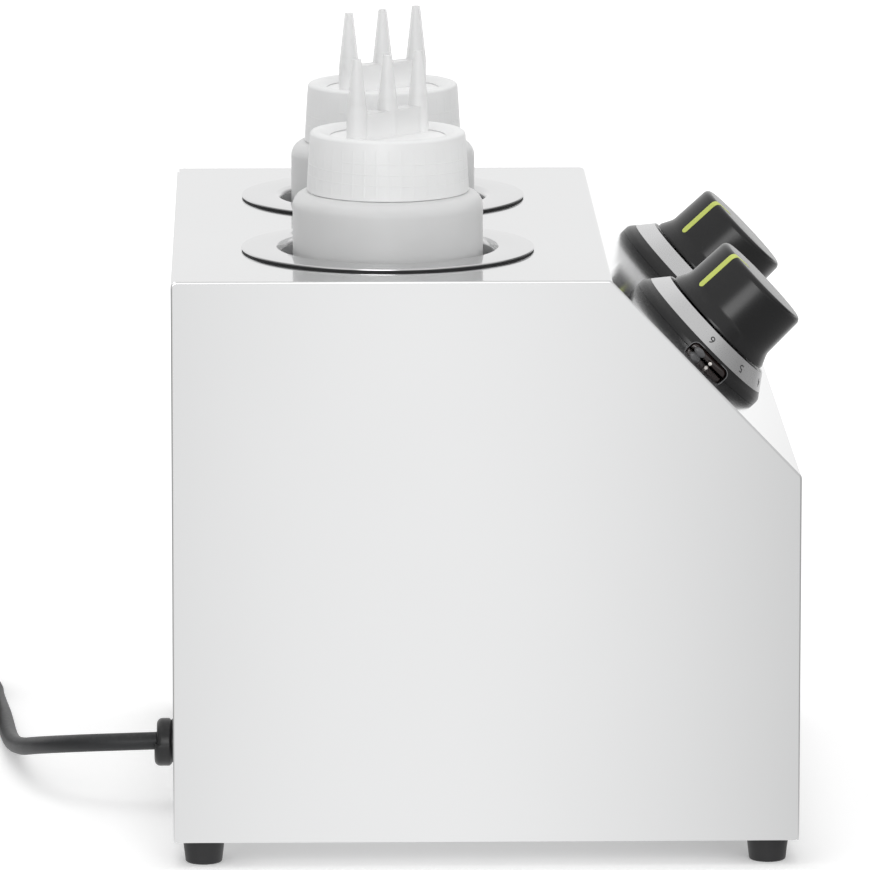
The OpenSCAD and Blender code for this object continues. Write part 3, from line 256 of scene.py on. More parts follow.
sideways = maths(tree, "DIVIDE", maths(tree, "ABSOLUTE", spot_xyz["X"]), maths(tree, "MAXIMUM", away, 0.01))
distant = between(tree, sideways, 0.3, 0.9, 0.45, 1.15, "SMOOTHSTEP")
in_steel = blended(tree, between(tree, away, 1.6, 4, ease="SMOOTHSTEP"), beside, distant)
past_x = maths(tree, "SUBTRACT", maths(tree, "ABSOLUTE", spot_xyz["X"]), CASE_HALF_X)
past_y = maths(tree, "SUBTRACT", maths(tree, "ABSOLUTE", spot_xyz["Y"]), CASE_HALF_Y)
past = maths(tree, "MAXIMUM", past_x, past_y)
whiter = maths(tree, "ADD", between(tree, past, -0.03, 0.03, 0.1, 0.34, "SMOOTHSTEP"),
               between(tree, away, 0.35, 1.1, 0, 0.2, "SMOOTHSTEP"))
lift = maths(tree, "MULTIPLY", rays["Is Camera Ray"], whiter)
paint = add_node(tree, "ShaderNodeBsdfDiffuse", {"Color": (0.9, 0.9, 0.9, 1)})
glow = add_node(tree, "ShaderNodeEmission", {"Color": (1, 1, 1, 1), "Strength": lift})
both = add_node(tree, "ShaderNodeAddShader", {0: paint.outputs[0], 1: glow.outputs[0]})
mirrored = add_node(tree, "ShaderNodeEmission", {
    "Color": (1, 1, 1, 1), "Strength": blended(tree, rays["Is Transmission Ray"], in_steel, 1.0)})
seen_by = add_node(tree, "ShaderNodeMixShader", {
    0: maths(tree, "MAXIMUM", rays["Is Glossy Ray"], rays["Is Transmission Ray"]),
    1: both.outputs[0], 2: mirrored.outputs[0]})
add_node(tree, "ShaderNodeOutputMaterial", {"Surface": seen_by.outputs[0]})
floor_mesh.materials.append(floor_look)

# %% Lamps


def soft_lamp(name, place, target, width, height, power):
    data = bpy.data.lights.new(name, "AREA")
    data.shape = "RECTANGLE"
    data.size = width
    data.size_y = height
    data.energy = power
    lamp = bpy.data.objects.new(name, data)
    aim = (Vector(target) - Vector(place)).to_track_quat("-Z", "Y").to_matrix().to_4x4()
    lamp.matrix_world = Matrix.Translation(place) @ aim
    lamp.visible_camera = False
    lamp.visible_glossy = False
    bpy.context.scene.collection.objects.link(lamp)
    return lamp


soft_lamp("overhead", (0.1, 0.2, 2.2), (0, 0, 0.15), 1.8, 1.8, 11)
soft_lamp("beside_the_camera", (-2.1, -0.35, 0.9), (0, 0, 0.2), 1.0, 1.2, 11)
print("lamps", len(bpy.data.lights))

# %% [markdown]
# Real surfaces are never one flat colour. Three effects turn up on many of this warmer's parts, so each is made
# once, as a shader node group with named inputs, and placed in a material with that part's own values. Sheet steel
# has a fine grain along its rolling direction, moulded plastic has a faint skin and soft flow marks, and every
# surface has a little dust and handling that changes its gloss. All patterns read Object coordinates, so they stay
# where they are on each part.

# %% Helpers for shader groups
FLOAT = "NodeSocketFloat"
VECTOR = "NodeSocketVector"
COLOUR = "NodeSocketColor"


def new_group(name, inputs, outputs):
    group = bpy.data.node_groups.new(name, "ShaderNodeTree")
    for label, kind, value in inputs:
        group.interface.new_socket(label, in_out="INPUT", socket_type=kind).default_value = value
    for label, kind in outputs:
        group.interface.new_socket(label, in_out="OUTPUT", socket_type=kind)
    return group, add_node(group, "NodeGroupInput").outputs, add_node(group, "NodeGroupOutput").inputs


def noise(tree, vector, scale, detail=3.0, roughness=0.5):
    return add_node(tree, "ShaderNodeTexNoise", {
        "Vector": vector, "Scale": scale, "Detail": detail, "Roughness": roughness}).outputs[0]


# %% Rolled grain of sheet and turned metal
grain_group, take, give = new_group(
    "rolled_grain",
    [("Stretch", VECTOR, (30, 900, 900)), ("Roughness", FLOAT, 0.2), ("Spread", FLOAT, 0.06)],
    [("Roughness", FLOAT), ("Height", FLOAT), ("Tint", FLOAT)])
here = add_node(grain_group, "ShaderNodeTexCoord").outputs["Object"]
drawn = add_node(grain_group, "ShaderNodeVectorMath", {0: here, 1: take["Stretch"]}, operation="MULTIPLY").outputs[0]
fine = noise(grain_group, drawn, 1.0, 4.0, 0.6)
cloud = noise(grain_group, here, 9.0, 2.0)
swing = maths(grain_group, "SUBTRACT", maths(grain_group, "ADD", fine, maths(grain_group, "MULTIPLY", cloud, 0.6)), 0.8)
grain_group.links.new(
    maths(grain_group, "ADD", take["Roughness"], maths(grain_group, "MULTIPLY", swing, take["Spread"])),
    give["Roughness"])
grain_group.links.new(fine, give["Height"])
grain_group.links.new(between(grain_group, cloud, 0.3, 0.7, 0.985, 1.0), give["Tint"])

# %% Skin of moulded plastic and rubber
skin_group, take, give = new_group(
    "moulded_skin",
    [("Pebble", FLOAT, 1800.0), ("Roughness", FLOAT, 0.3), ("Spread", FLOAT, 0.08)],
    [("Roughness", FLOAT), ("Height", FLOAT), ("Tint", FLOAT)])
here = add_node(skin_group, "ShaderNodeTexCoord").outputs["Object"]
pebble = noise(skin_group, here, take["Pebble"], 3.0, 0.55)
flow = noise(skin_group, here, 34.0, 2.0)
swing = maths(skin_group, "SUBTRACT", maths(skin_group, "ADD", pebble, flow), 1.0)
skin_group.links.new(
    maths(skin_group, "ADD", take["Roughness"], maths(skin_group, "MULTIPLY", swing, take["Spread"])),
    give["Roughness"])
skin_group.links.new(pebble, give["Height"])
skin_group.links.new(between(skin_group, flow, 0.3, 0.7, 0.94, 1.0), give["Tint"])

# %% Settled dust
dust_group, take, give = new_group(
    "settled_dust",
    [("Colour", COLOUR, (0.5, 0.5, 0.5, 1)), ("Dust", COLOUR, (0.62, 0.6, 0.57, 1)), ("Amount", FLOAT, 0.03)],
    [("Colour", COLOUR), ("Mask", FLOAT)])
here = add_node(dust_group, "ShaderNodeTexCoord").outputs["Object"]
facing = add_node(dust_group, "ShaderNodeSeparateXYZ", {0: add_node(
    dust_group, "ShaderNodeNewGeometry").outputs["Normal"]}).outputs["Z"]
upward = between(dust_group, facing, 0.1, 1.0)
specks = between(dust_group, noise(dust_group, here, 420.0, 5.0, 0.7), 0.42, 0.75)
mask = maths(dust_group, "MULTIPLY", maths(dust_group, "MULTIPLY", upward, specks), take["Amount"])
dusty = add_node(dust_group, "ShaderNodeMix", {
    "Factor": mask, 6: take["Colour"], 7: take["Dust"]}, data_type="RGBA").outputs[2]
dust_group.links.new(dusty, give["Colour"])
dust_group.links.new(mask, give["Mask"])
print("shader groups", [group.name for group in bpy.data.node_groups])

# %% [markdown]
# A finish is a Principled BSDF in its own material. Its base colour passes through the dust group, its roughness
# and bump come from the grain or the skin, and what is the same all over stays on the shader's own sockets.

# %% Finish helpers
METAL_RELIEF = 0.02 * MM
PLASTIC_RELIEF = 0.05 * MM
finishes = {}


def shaded(group, values, tree):
    node = tree.nodes.new("ShaderNodeGroup")
    node.node_tree = group
    for key, value in values.items():
        if isinstance(value, bpy.types.NodeSocket):
            tree.links.new(value, node.inputs[key])
        else:
            node.inputs[key].default_value = value
    return node.outputs


def finish(name, colour, pattern, bump, bump_distance, dust=0.02, **shader):
    material = new_material(name)
    tree = material.node_tree
    group, values = pattern
    parts = shaded(group, values, tree)
    tinted = add_node(tree, "ShaderNodeMix", {
        "Factor": 1.0, 6: (*colour, 1), 7: parts["Tint"]}, data_type="RGBA", blend_type="MULTIPLY").outputs[2]
    dusted = shaded(dust_group, {"Colour": tinted, "Amount": dust}, tree)
    relief = add_node(tree, "ShaderNodeBump", {
        "Height": parts["Height"], "Strength": bump, "Distance": bump_distance})
    surface = add_node(tree, "ShaderNodeBsdfPrincipled", {
        "Base Color": dusted["Colour"], "Roughness": parts["Roughness"], "Normal": relief.outputs[0]})
    for key, value in shader.items():
        surface.inputs[key.replace("_", " ").title().replace("Ior", "IOR")].default_value = value
    add_node(tree, "ShaderNodeOutputMaterial", {"Surface": surface.outputs[0]})
    finishes[name] = material
    return material


def metal(name, colour, roughness, spread=0.05, stretch=(30, 900, 900), bump=0.12):
    pattern = (grain_group, {"Stretch": stretch, "Roughness": roughness, "Spread": spread})
    return finish(name, colour, pattern, bump, METAL_RELIEF, metallic=1.0)


def moulded(name, colour, roughness, spread=0.08, pebble=1800.0, bump=0.15, dust=0.02, **shader):
    pattern = (skin_group, {"Pebble": pebble, "Roughness": roughness, "Spread": spread})
    return finish(name, colour, pattern, bump, PLASTIC_RELIEF, dust, **shader)


# %% Metals
metal("sheet_steel", (0.8, 0.803, 0.806), 0.09, 0.02, (24, 700, 700), 0.02)
metal("well_steel", (0.72, 0.722, 0.726), 0.08, 0.02, (500, 500, 60), 0.02)
metal("screw_steel", (0.7, 0.71, 0.72), 0.24, 0.08, (800, 800, 800))
metal("strap_steel", (0.7, 0.71, 0.72), 0.32, 0.1, (60, 900, 900))
metal("heater_sheath", (0.55, 0.5, 0.42), 0.42, 0.15, (300, 300, 40))
metal("copper_tube", (0.72, 0.4, 0.26), 0.3, 0.1, (500, 60, 500))
metal("plated_shaft", (0.74, 0.75, 0.76), 0.25, 0.08, (700, 700, 700))
metal("scale_metal", (0.7, 0.7, 0.705), 0.28, 0.12, (1600, 1600, 1600), 0.4)
metal("brass_screw", (0.8, 0.62, 0.3), 0.28, 0.1, (700, 700, 700))
metal("pin_brass", (0.82, 0.8, 0.74), 0.2, 0.06, (700, 700, 700))

# %% Plastics, rubbers and the rest
moulded("knob_plastic", (0.008, 0.008, 0.0085), 0.22, 0.05, 1500, 0.12, 0.012)
moulded("bezel_plastic", (0.01, 0.01, 0.0105), 0.26, 0.06, 1500, 0.15, 0.015)
moulded("pointer_plastic", (0.6, 0.68, 0.15), 0.42, 0.1, 1200, 0.1, 0.02)
moulded("lens_plastic", (0.02, 0.012, 0.011), 0.08, 0.02, 900, 0.05, 0.02, coat_weight=0.6, coat_roughness=0.04)
# Pale lamp glass; the small dome in each window wears it as a painted highlight, a bright dot of light.
moulded("lamp_glass", (0.9, 0.86, 0.82), 0.12, 0.02, 900, 0.02, 0.0)
moulded("bottle_plastic", (0.85, 0.855, 0.855), 0.34, 0.06, 900, 0.1, 0.01, subsurface_weight=0.5,
        subsurface_radius=(1, 1, 1), subsurface_scale=0.008)
moulded("nozzle_plastic", (0.96, 0.962, 0.962), 0.3, 0.06, 900, 0.08, 0.0)
moulded("collar_plastic", (0.88, 0.884, 0.884), 0.32, 0.06, 900, 0.1, 0.01)
moulded("foot_rubber", (0.014, 0.014, 0.015), 0.5, 0.12, 1400, 0.3, 0.05)
moulded("gland_plastic", (0.018, 0.018, 0.019), 0.34, 0.1, 1400, 0.25, 0.04)
moulded("cord_sheath", (0.02, 0.021, 0.023), 0.45, 0.12, 1600, 0.3, 0.06)
moulded("plug_plastic", (0.018, 0.018, 0.019), 0.4, 0.1, 1500, 0.25, 0.05)
moulded("tie_fabric", (0.03, 0.03, 0.032), 0.8, 0.1, 2600, 0.9, 0.05)
# Black seal rubber; under each flange it is carried almost to the edge as painted shadow of the gap there.
moulded("seal_rubber", (0.02, 0.02, 0.021), 0.6, 0.1, 1400, 0.2, 0.02)
moulded("phenolic_black", (0.03, 0.028, 0.026), 0.45, 0.1, 1200, 0.2, 0.05)
moulded("thermostat_case", (0.2, 0.09, 0.05), 0.45, 0.1, 1200, 0.2, 0.05)
moulded("insulation_wool", (0.75, 0.7, 0.55), 0.9, 0.1, 700, 1.0, 0.05)
moulded("terminal_plastic", (0.78, 0.76, 0.68), 0.45, 0.1, 1200, 0.15, 0.04)
moulded("wire_sleeve", (0.45, 0.05, 0.035), 0.4, 0.1, 1200, 0.15, 0.02)
# A lighter grey for the dome on each lens: painted reflection, a grey patch of the surroundings on the lens.
moulded("lens_grey_painted_reflection", (0.12, 0.12, 0.125), 0.2, 0.04, 900, 0.05, 0.02)
# A grey for the bead round each window: painted highlight, a thin light line along the window's edge.
moulded("bead_grey_painted_highlight", (0.16, 0.16, 0.165), 0.25, 0.05, 900, 0.05, 0.02)
moulded("numeral_ink", (0.03, 0.03, 0.032), 0.5, 0.08, 1200, 0.05, 0.0)
print("finishes", len(finishes))

# %% [markdown]
# Two finishes change over their part. The cones of a nozzle are so thin that light comes through them, while the
# disc below stays solid, so their alpha falls with height. The inside of a drawn well is dull, and only its flange
# was polished.

# %% Thin cones and a dull inside
CONES_FROM, CONES_FULL = 0.2835, 0.298
CONE_ALPHA = 0.6
LIP_LOW, LIP_HIGH = 0.2352, 0.2378
DULL = 0.5


def shader_of(name):
    nodes = finishes[name].node_tree.nodes
    return finishes[name].node_tree, next(node for node in nodes if node.type == "BSDF_PRINCIPLED")


def height_in(tree):
    here = add_node(tree, "ShaderNodeTexCoord").outputs["Object"]
    return add_node(tree, "ShaderNodeSeparateXYZ", {0: here}).outputs["Z"]


tree, surface = shader_of("nozzle_plastic")
height = height_in(tree)
tree.links.new(between(tree, height, CONES_FROM, CONES_FULL, 1.0, CONE_ALPHA), surface.inputs["Alpha"])
tree, surface = shader_of("well_steel")
height = height_in(tree)
polished = surface.inputs["Roughness"].links[0].from_socket
dull_inside = between(tree, height, LIP_LOW, LIP_HIGH, DULL, 0.0)
tree.links.new(maths(tree, "MAXIMUM", polished, dull_inside), surface.inputs["Roughness"])

# %% Put the finishes on the construction
for part in record["subparts"]:
    finished = frame["nodes"][part["node"]]
    for place in finished.material_slots:
        place.material = finishes[part["material_slot"]]
cord.data.materials.append(finishes["cord_sheath"])

# %% [markdown]
# Most of the warmer's visible parts are turned: wells, bottles, collars, spouts, knobs and the rings of the dials.
# The construction's own solids are there already, but their round faces are made of flat strips. For the parts that
# the eye follows, the outline is drawn once as a half section, its corners are rounded, and it is turned about its
# axis into a closed shell. That gives clean highlights, and the sizes stay those of the construction.

# %% Rounding an outline
def rounded(points, radii, steps=6):
    """The corners of a closed outline, each made an arc of its own radius."""
    made = []
    for number, radius in enumerate(radii):
        corner = Vector(points[number])
        if not radius:
            made.append(corner)
            continue
        before = (Vector(points[number - 1]) - corner).normalized()
        after = (Vector(points[(number + 1) % len(points)]) - corner).normalized()
        half = before.angle(after) / 2
        middle = corner + (before + after).normalized() * radius / math.sin(half)
        start = corner + before * radius / math.tan(half) - middle
        end = corner + after * radius / math.tan(half) - middle
        for step in range(steps + 1):
            made.append(middle + (start * (1 - step / steps) + end * (step / steps)).normalized() * radius)
    return made


# %% Turning an outline about its axis
def lathed(outline, segments=120):
    """A closed shell from a closed (radius, height) outline in millimetres; a point on the axis is one vertex."""
    form = bmesh.new()
    turns = [2 * math.pi * number / segments for number in range(segments)]
    rings = []
    for radius, height in outline:
        if radius < 1e-4:
            rings.append([form.verts.new((0, 0, height * MM))] * segments)
        else:
            rings.append([form.verts.new((
                radius * MM * math.cos(turn), radius * MM * math.sin(turn), height * MM)) for turn in turns])
    for ring, following in zip(rings, rings[1:] + rings[:1]):
        for number in range(segments):
            around = dict.fromkeys((ring[number - 1], ring[number], following[number], following[number - 1]))
            if len(around) > 2:
                form.faces.new(list(around))
    return as_mesh(form)


def as_mesh(form, merge=0.0):
    """A bmesh made a mesh with its faces pointing outwards."""
    if merge:
        bmesh.ops.remove_doubles(form, verts=form.verts[:], dist=merge)
    bmesh.ops.recalc_face_normals(form, faces=form.faces[:])
    mesh = bpy.data.meshes.new("turned")
    form.to_mesh(mesh)
    form.free()
    return mesh


# %% From a mesh to a finished piece
def finished_piece(name, mesh, place, body, slot, nodes=(), sharp=35, material=None):
    """The mesh is moved to its place, so that the object itself stays at the origin."""
    mesh.transform(place)
    mesh.shade_smooth()
    mesh.set_sharp_from_angle(angle=math.radians(sharp))
    mesh.materials.clear()
    mesh.materials.append(finishes[material or slot])
    piece = bpy.data.objects.new(name, mesh)
    bpy.context.scene.collection.objects.link(piece)
    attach(piece, body)
    if nodes:
        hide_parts(*nodes)
    print(name, len(mesh.polygons), "faces")
    return piece


# %% Where the wells and dials are
WELL_X, WELL_Y = 0.069, 0.038
WELL = {side: Matrix.Translation((sign * WELL_X, WELL_Y, 0)) for side, sign in zip(SIDES, (-1, 1))}
DIAL = {}
for side in SIDES:
    joint = joints["knob_turn_" + side]
    axis = Vector(joint["axis"]).normalized()
    if axis.z < 0:
        axis.negate()
    across = Vector((1, 0, 0))
    DIAL[side] = Matrix.Translation(joint["pos_m"]) @ Matrix((across, axis.cross(across), axis)).transposed().to_4x4()
    print("dial", side, [round(x, 4) for x in DIAL[side].translation], "axis", [round(x, 3) for x in axis])

# %% [markdown]
# A side of the case is a sheet with its edge rolled over towards the top sheet. That edge is what tells steel from
# a grey block: it catches a thin line of other light. The outline of the side is drawn once from the case's corners,
# set in by small steps, and the steps are stacked across the sheet's thickness, so that the edge curves.

# %% The outline of the case, set in by some distance
CASE = ((125, 10), (125, 237), (-49, 237), (-125, 158), (-125, 10))
CORNER_R = 2.5


def set_in(distance):
    """The case's outline (y, z), moved inwards, with its corners still concentric."""
    lines = []
    for number, point in enumerate(CASE):
        start, end = Vector(CASE[number - 1]), Vector(point)
        along = (end - start).normalized()
        inward = Vector((-along.y, along.x))
        lines.append((start + inward * distance, along))
    corners = []
    for (start, along), (other, beyond) in zip(lines, lines[1:] + lines[:1]):
        share = ((other - start).x * beyond.y - (other - start).y * beyond.x) / (
            along.x * beyond.y - along.y * beyond.x)
        corners.append(start + along * share)
    return rounded(corners, [max(CORNER_R - distance, 0.3)] * len(corners))


# %% The sides of the case
EDGE_STEPS = ((149, 0.0), (149.5, 0.0), (149.66, 0.03), (149.81, 0.11), (149.92, 0.24), (149.98, 0.38), (150, 0.52),
              (150, 0.8), (150, 1.6))
FOLD_STEPS = ((149.4, 1.15), (141.5, 1.15), (141.5, 2.15), (149.4, 2.15))


def stacked(form, steps, sign, close_ends):
    loops = []
    for across, distance in steps:
        loops.append([form.verts.new((sign * across * MM, y * MM, z * MM)) for y, z in set_in(distance)])
    pairs = zip(loops, loops[1:]) if close_ends else zip(loops, loops[1:] + loops[:1])
    for loop, following in pairs:
        for number in range(len(loop)):
            form.faces.new((loop[number - 1], loop[number], following[number], following[number - 1]))
    if close_ends:
        form.faces.new(loops[0])
        form.faces.new(loops[-1])


for side, sign in zip(SIDES, (-1, 1)):
    form = bmesh.new()
    stacked(form, EDGE_STEPS, sign, True)
    stacked(form, FOLD_STEPS, sign, False)
    finished_piece("side_sheet_" + side, as_mesh(form), Matrix(), "case", "sheet_steel", ["side_panel_" + side], 50)

# %% [markdown]
# A well is drawn from one piece of sheet: a flat flange that rests on the top, a rolled lip, a deep straight wall
# and a rounded floor. Its flange ends in a small turned-down edge. Under it a black seal ring is carried almost out to
# the flange's edge: a real seal, and painted shadow where the gap under the flange is dark.

# %% The wells
WELL_OUTLINE = rounded(
    [(59.2, 237.8), (59.2, 238.4), (42.5, 238.4), (42.5, 78.4), (0, 78.4), (0, 77.6), (43.3, 77.6), (43.3, 237.6),
     (58.9, 237.6)],
    [0.1, 0.45, 3, 5, 0, 0, 5.8, 2.2, 0.1])
# The seal ring reaches almost to the flange's edge and is black: a real seal, and painted shadow for the dark gap under
# the flange.
GASKET_SHADOW_GAP_OUTLINE = rounded([(56.6, 237), (59, 237), (59, 237.75), (56.6, 237.55)], [0, 0.15, 0.15, 0])
for side in SIDES:
    finished_piece("drawn_well_" + side, lathed(WELL_OUTLINE, 160), WELL[side], "case", "well_steel", ["well_" + side])
    finished_piece("flange_gasket_" + side, lathed(GASKET_SHADOW_GAP_OUTLINE, 160), WELL[side], "case", "seal_rubber",
                   ["well_seal_" + side])

# %% [markdown]
# The bottles are blown plastic with a soft shoulder. The collar that closes one is a moulded ring: fine ribs down
# its side for the fingers, a broad rounded rim, and faint lines where the thread inside has drawn the plastic in.
# Ribs and thread repeat, so Geometry Nodes make them on the turned ring, with their number and sizes as inputs.

# %% A tree that gives a turned ring its ribs
def new_tree(name, inputs):
    tree = bpy.data.node_groups.new(name, "GeometryNodeTree")
    tree.interface.new_socket("Geometry", in_out="INPUT", socket_type="NodeSocketGeometry")
    for label, kind, value in inputs:
        socket = tree.interface.new_socket(label, in_out="INPUT", socket_type=kind)
        if value is not None:
            socket.default_value = value
    tree.interface.new_socket("Geometry", in_out="OUTPUT", socket_type="NodeSocketGeometry")
    return tree, add_node(tree, "NodeGroupInput").outputs, add_node(tree, "NodeGroupOutput").inputs


def grown(tree, mesh, values):
    """The mesh with the tree's modifier on it, made one plain mesh."""
    source = bpy.data.objects.new("source", mesh)
    bpy.context.scene.collection.objects.link(source)
    modifier = source.modifiers.new("grown", "NODES")
    modifier.node_group = tree
    sockets = {item.name: item.identifier for item in tree.interface.items_tree if item.in_out == "INPUT"}
    for label, value in values.items():
        modifier[sockets[label]] = value
    bpy.context.view_layer.update()
    seen = bpy.context.evaluated_depsgraph_get()
    made = bpy.data.meshes.new_from_object(source.evaluated_get(seen), depsgraph=seen)
    bpy.data.objects.remove(source)
    return made


INTEGER = "NodeSocketInt"
MATERIAL = "NodeSocketMaterial"
OBJECT = "NodeSocketObject"


def close_tree(tree, give, parts, material):
    """Joins the parts, makes instances real and sets the material."""
    joined = add_node(tree, "GeometryNodeJoinGeometry")
    for part in parts:
        tree.links.new(part, joined.inputs[0])
    real = add_node(tree, "GeometryNodeRealizeInstances", {"Geometry": joined.outputs[0]})
    dressed = add_node(tree, "GeometryNodeSetMaterial", {"Geometry": real.outputs[0], "Material": material})
    tree.links.new(dressed.outputs[0], give["Geometry"])


def lifted(tree, geometry, height):
    up = add_node(tree, "ShaderNodeCombineXYZ", {"Z": height}).outputs[0]
    return add_node(tree, "GeometryNodeTransform", {"Geometry": geometry, "Translation": up}).outputs[0]


rib_tree, take, give = new_tree("finger_ribs", [
    ("Ribs", INTEGER, 40), ("Radius", FLOAT, 0.032), ("Rib width", FLOAT, 0.001), ("Rib height", FLOAT, 0.018),
    ("Middle", FLOAT, 0.273), ("Taper", FLOAT, 0.05), ("Material", MATERIAL, None)])
places = add_node(rib_tree, "GeometryNodeMeshCircle", {"Vertices": take["Ribs"], "Radius": take["Radius"]})
rib = add_node(rib_tree, "GeometryNodeMeshCylinder", {
    "Vertices": 10, "Radius": take["Rib width"], "Depth": take["Rib height"]})
lean = add_node(rib_tree, "ShaderNodeCombineXYZ", {"Y": maths(rib_tree, "MULTIPLY", take["Taper"], -1.0)})
leaning = add_node(rib_tree, "GeometryNodeTransform", {
    "Geometry": rib.outputs["Mesh"], "Rotation": lean.outputs[0], "Scale": (0.32, 1, 1)})
here = add_node(rib_tree, "GeometryNodeInputPosition").outputs[0]
outward = add_node(rib_tree, "FunctionNodeAlignRotationToVector", {"Vector": here}, axis="X", pivot_axis="Z")
ribs = add_node(rib_tree, "GeometryNodeInstanceOnPoints", {
    "Points": places.outputs["Mesh"], "Instance": leaning.outputs[0], "Rotation": outward.outputs[0]})
close_tree(rib_tree, give, (lifted(rib_tree, ribs.outputs[0], take["Middle"]), take["Geometry"]), take["Material"])

# %% A tree that winds a thread round a turned part
thread_tree, take, give = new_tree("wound_thread", [
    ("Radius low", FLOAT, 0.03), ("Radius high", FLOAT, 0.03), ("Low", FLOAT, 0.26), ("Pitch", FLOAT, 0.005),
    ("Turns", FLOAT, 2.0), ("Thickness", FLOAT, 0.0008), ("Material", MATERIAL, None)])
spiral = add_node(thread_tree, "GeometryNodeCurveSpiral", {
    "Resolution": 80, "Rotations": take["Turns"],
    "Height": maths(thread_tree, "MULTIPLY", take["Turns"], take["Pitch"]),
    "Start Radius": take["Radius low"], "End Radius": take["Radius high"]})
section = add_node(thread_tree, "GeometryNodeCurvePrimitiveCircle", {"Resolution": 10, "Radius": take["Thickness"]})
line = add_node(thread_tree, "GeometryNodeCurveToMesh", {
    "Curve": spiral.outputs[0], "Profile Curve": section.outputs[0], "Fill Caps": True})
close_tree(thread_tree, give, (lifted(thread_tree, line.outputs[0], take["Low"]), take["Geometry"]), take["Material"])

# %% The bottles
BOTTLE_OUTLINE = rounded(
    [(0, 78.7), (38.4, 78.7), (38.4, 261), (28.4, 261), (28.4, 281.4), (26.9, 281.4), (26.9, 259.5), (36.9, 259.5),
     (36.9, 80.2), (0, 80.2)],
    [0, 7, 6, 0.8, 0.3, 0.3, 2.3, 4.5, 5.5, 0], 8)
for side in SIDES:
    wound = grown(thread_tree, lathed(BOTTLE_OUTLINE, 160), {
        "Radius low": 28.3 * MM, "Radius high": 28.3 * MM, "Low": 263.2 * MM, "Pitch": 5 * MM, "Turns": 2.0,
        "Thickness": 1.2 * MM, "Material": finishes["bottle_plastic"]})
    finished_piece("soft_bottle_" + side, wound, WELL[side], "squeeze_bottle_" + side, "bottle_plastic",
                   ["bottle_" + side])

# %% The collars
COLLAR_OUTLINE = rounded(
    [(30.1, 261.1), (32.7, 261.1), (31.3, 285.4), (27.2, 285.4), (23.4, 283.5), (23.4, 283.2), (30.1, 283.2)],
    [0.3, 0.5, 1.5, 3, 0.1, 0, 0], 8)
TAPER = (32.7 - 31.3) / (285.4 - 261.3)
RIB_MIDDLE = 272.0
THREAD_LOW = 265.2


def collar_r(height):
    return 32.7 - (height - 261.1) * TAPER


for side in SIDES:
    ring = grown(rib_tree, lathed(COLLAR_OUTLINE, 160), {
        "Ribs": 40, "Radius": (collar_r(RIB_MIDDLE) - 0.2) * MM, "Rib width": 0.85 * MM, "Rib height": 19 * MM,
        "Middle": RIB_MIDDLE * MM, "Taper": math.atan(TAPER), "Material": finishes["collar_plastic"]})
    ring = grown(thread_tree, ring, {
        "Radius low": (collar_r(THREAD_LOW) - 0.14) * MM, "Radius high": (collar_r(THREAD_LOW + 11.2) - 0.14) * MM,
        "Low": THREAD_LOW * MM, "Pitch": 4.3 * MM, "Turns": 2.6, "Thickness": 0.26 * MM,
        "Material": finishes["collar_plastic"]})
    finished_piece("ribbed_collar_" + side, ring, WELL[side], "screw_collar_" + side, "collar_plastic",
                   ["collar_" + side])

# %% [markdown]
# The nozzle is one moulding: a disc that the collar clamps, a low bar, and three long thin-walled cones. Each part
# is turned or drawn on its own and they are joined by exact booleans, then the hollow is cut out of the whole. The
# cones let some light through, and with the real hollow inside it passes as many walls as in the real part.

# %% Joining and cutting
def combined(mesh, other, operation):
    source = bpy.data.objects.new("source", mesh)
    tool = bpy.data.objects.new("tool", other)
    for part in (source, tool):
        bpy.context.scene.collection.objects.link(part)
    modifier = source.modifiers.new("cut", "BOOLEAN")
    modifier.operation = operation
    modifier.solver = "EXACT"
    modifier.object = tool
    seen = bpy.context.evaluated_depsgraph_get()
    made = bpy.data.meshes.new_from_object(source.evaluated_get(seen), depsgraph=seen)
    for part in (source, tool):
        bpy.data.objects.remove(part)
    return made


def slab(half_length, half_width, low, high, round_r=0.0):
    """A bar with rounded ends along x, in millimetres."""
    form = bmesh.new()
    outline = rounded([(-half_length, -half_width), (half_length, -half_width), (half_length, half_width),
                       (-half_length, half_width)], [round_r] * 4, 5)
    lower = [form.verts.new((x * MM, y * MM, low * MM)) for x, y in outline]
    upper = [form.verts.new((x * MM, y * MM, high * MM)) for x, y in outline]
    form.faces.new(lower)
    form.faces.new(upper)
    for number in range(len(lower)):
        form.faces.new((lower[number - 1], lower[number], upper[number], upper[number - 1]))
    return as_mesh(form)


# %% The nozzles
CONE_OUTLINE = rounded(
    [(0, 282.2), (4.2, 282.2), (4.2, 293.8), (1.75, 316.2), (0, 316.2)], [0, 0, 14, 0.3, 0])
CONE_HOLLOW = [(0, 280), (3.3, 280), (3.3, 293), (0.95, 318), (0, 318)]
DISC_OUTLINE = rounded([(0, 281.5), (28, 281.5), (28, 283.1), (0, 283.1)], [0, 0.4, 0.4, 0])
ROW_ANGLE = {"left": -44, "right": -52}
SPOUT_PITCH = 18
for side in SIDES:
    solid = lathed(DISC_OUTLINE, 72)
    hollow = slab(SPOUT_PITCH, 2.9, 280, 292.9, 2.8)
    solid = combined(solid, slab(SPOUT_PITCH, 3.9, 282, 293.8, 3.85), "UNION")
    for offset in (-SPOUT_PITCH, 0, SPOUT_PITCH):
        shift = Matrix.Translation((offset * MM, 0, 0))
        cone, bore = lathed(CONE_OUTLINE, 48), lathed(CONE_HOLLOW, 32)
        cone.transform(shift)
        bore.transform(shift)
        solid = combined(solid, cone, "UNION")
        hollow = combined(hollow, bore, "UNION")
    solid = combined(solid, hollow, "DIFFERENCE")
    turn = Matrix.Rotation(math.radians(ROW_ANGLE[side]), 4, "Z")
    finished_piece("spouts_" + side, solid, WELL[side] @ turn, "nozzle_unit_" + side, "nozzle_plastic",
                   ["nozzle_" + side], 30)

# %% [markdown]
# A dial has a black bezel, a metal scale with raised figures, and a tall knob with a yellow-green pointer laid into
# it. All three are turned shapes on one tilted axis. The figures are text made a mesh, each set on the cone of the
# scale with its top outwards; they are plain dial numbers from 1 to 6.

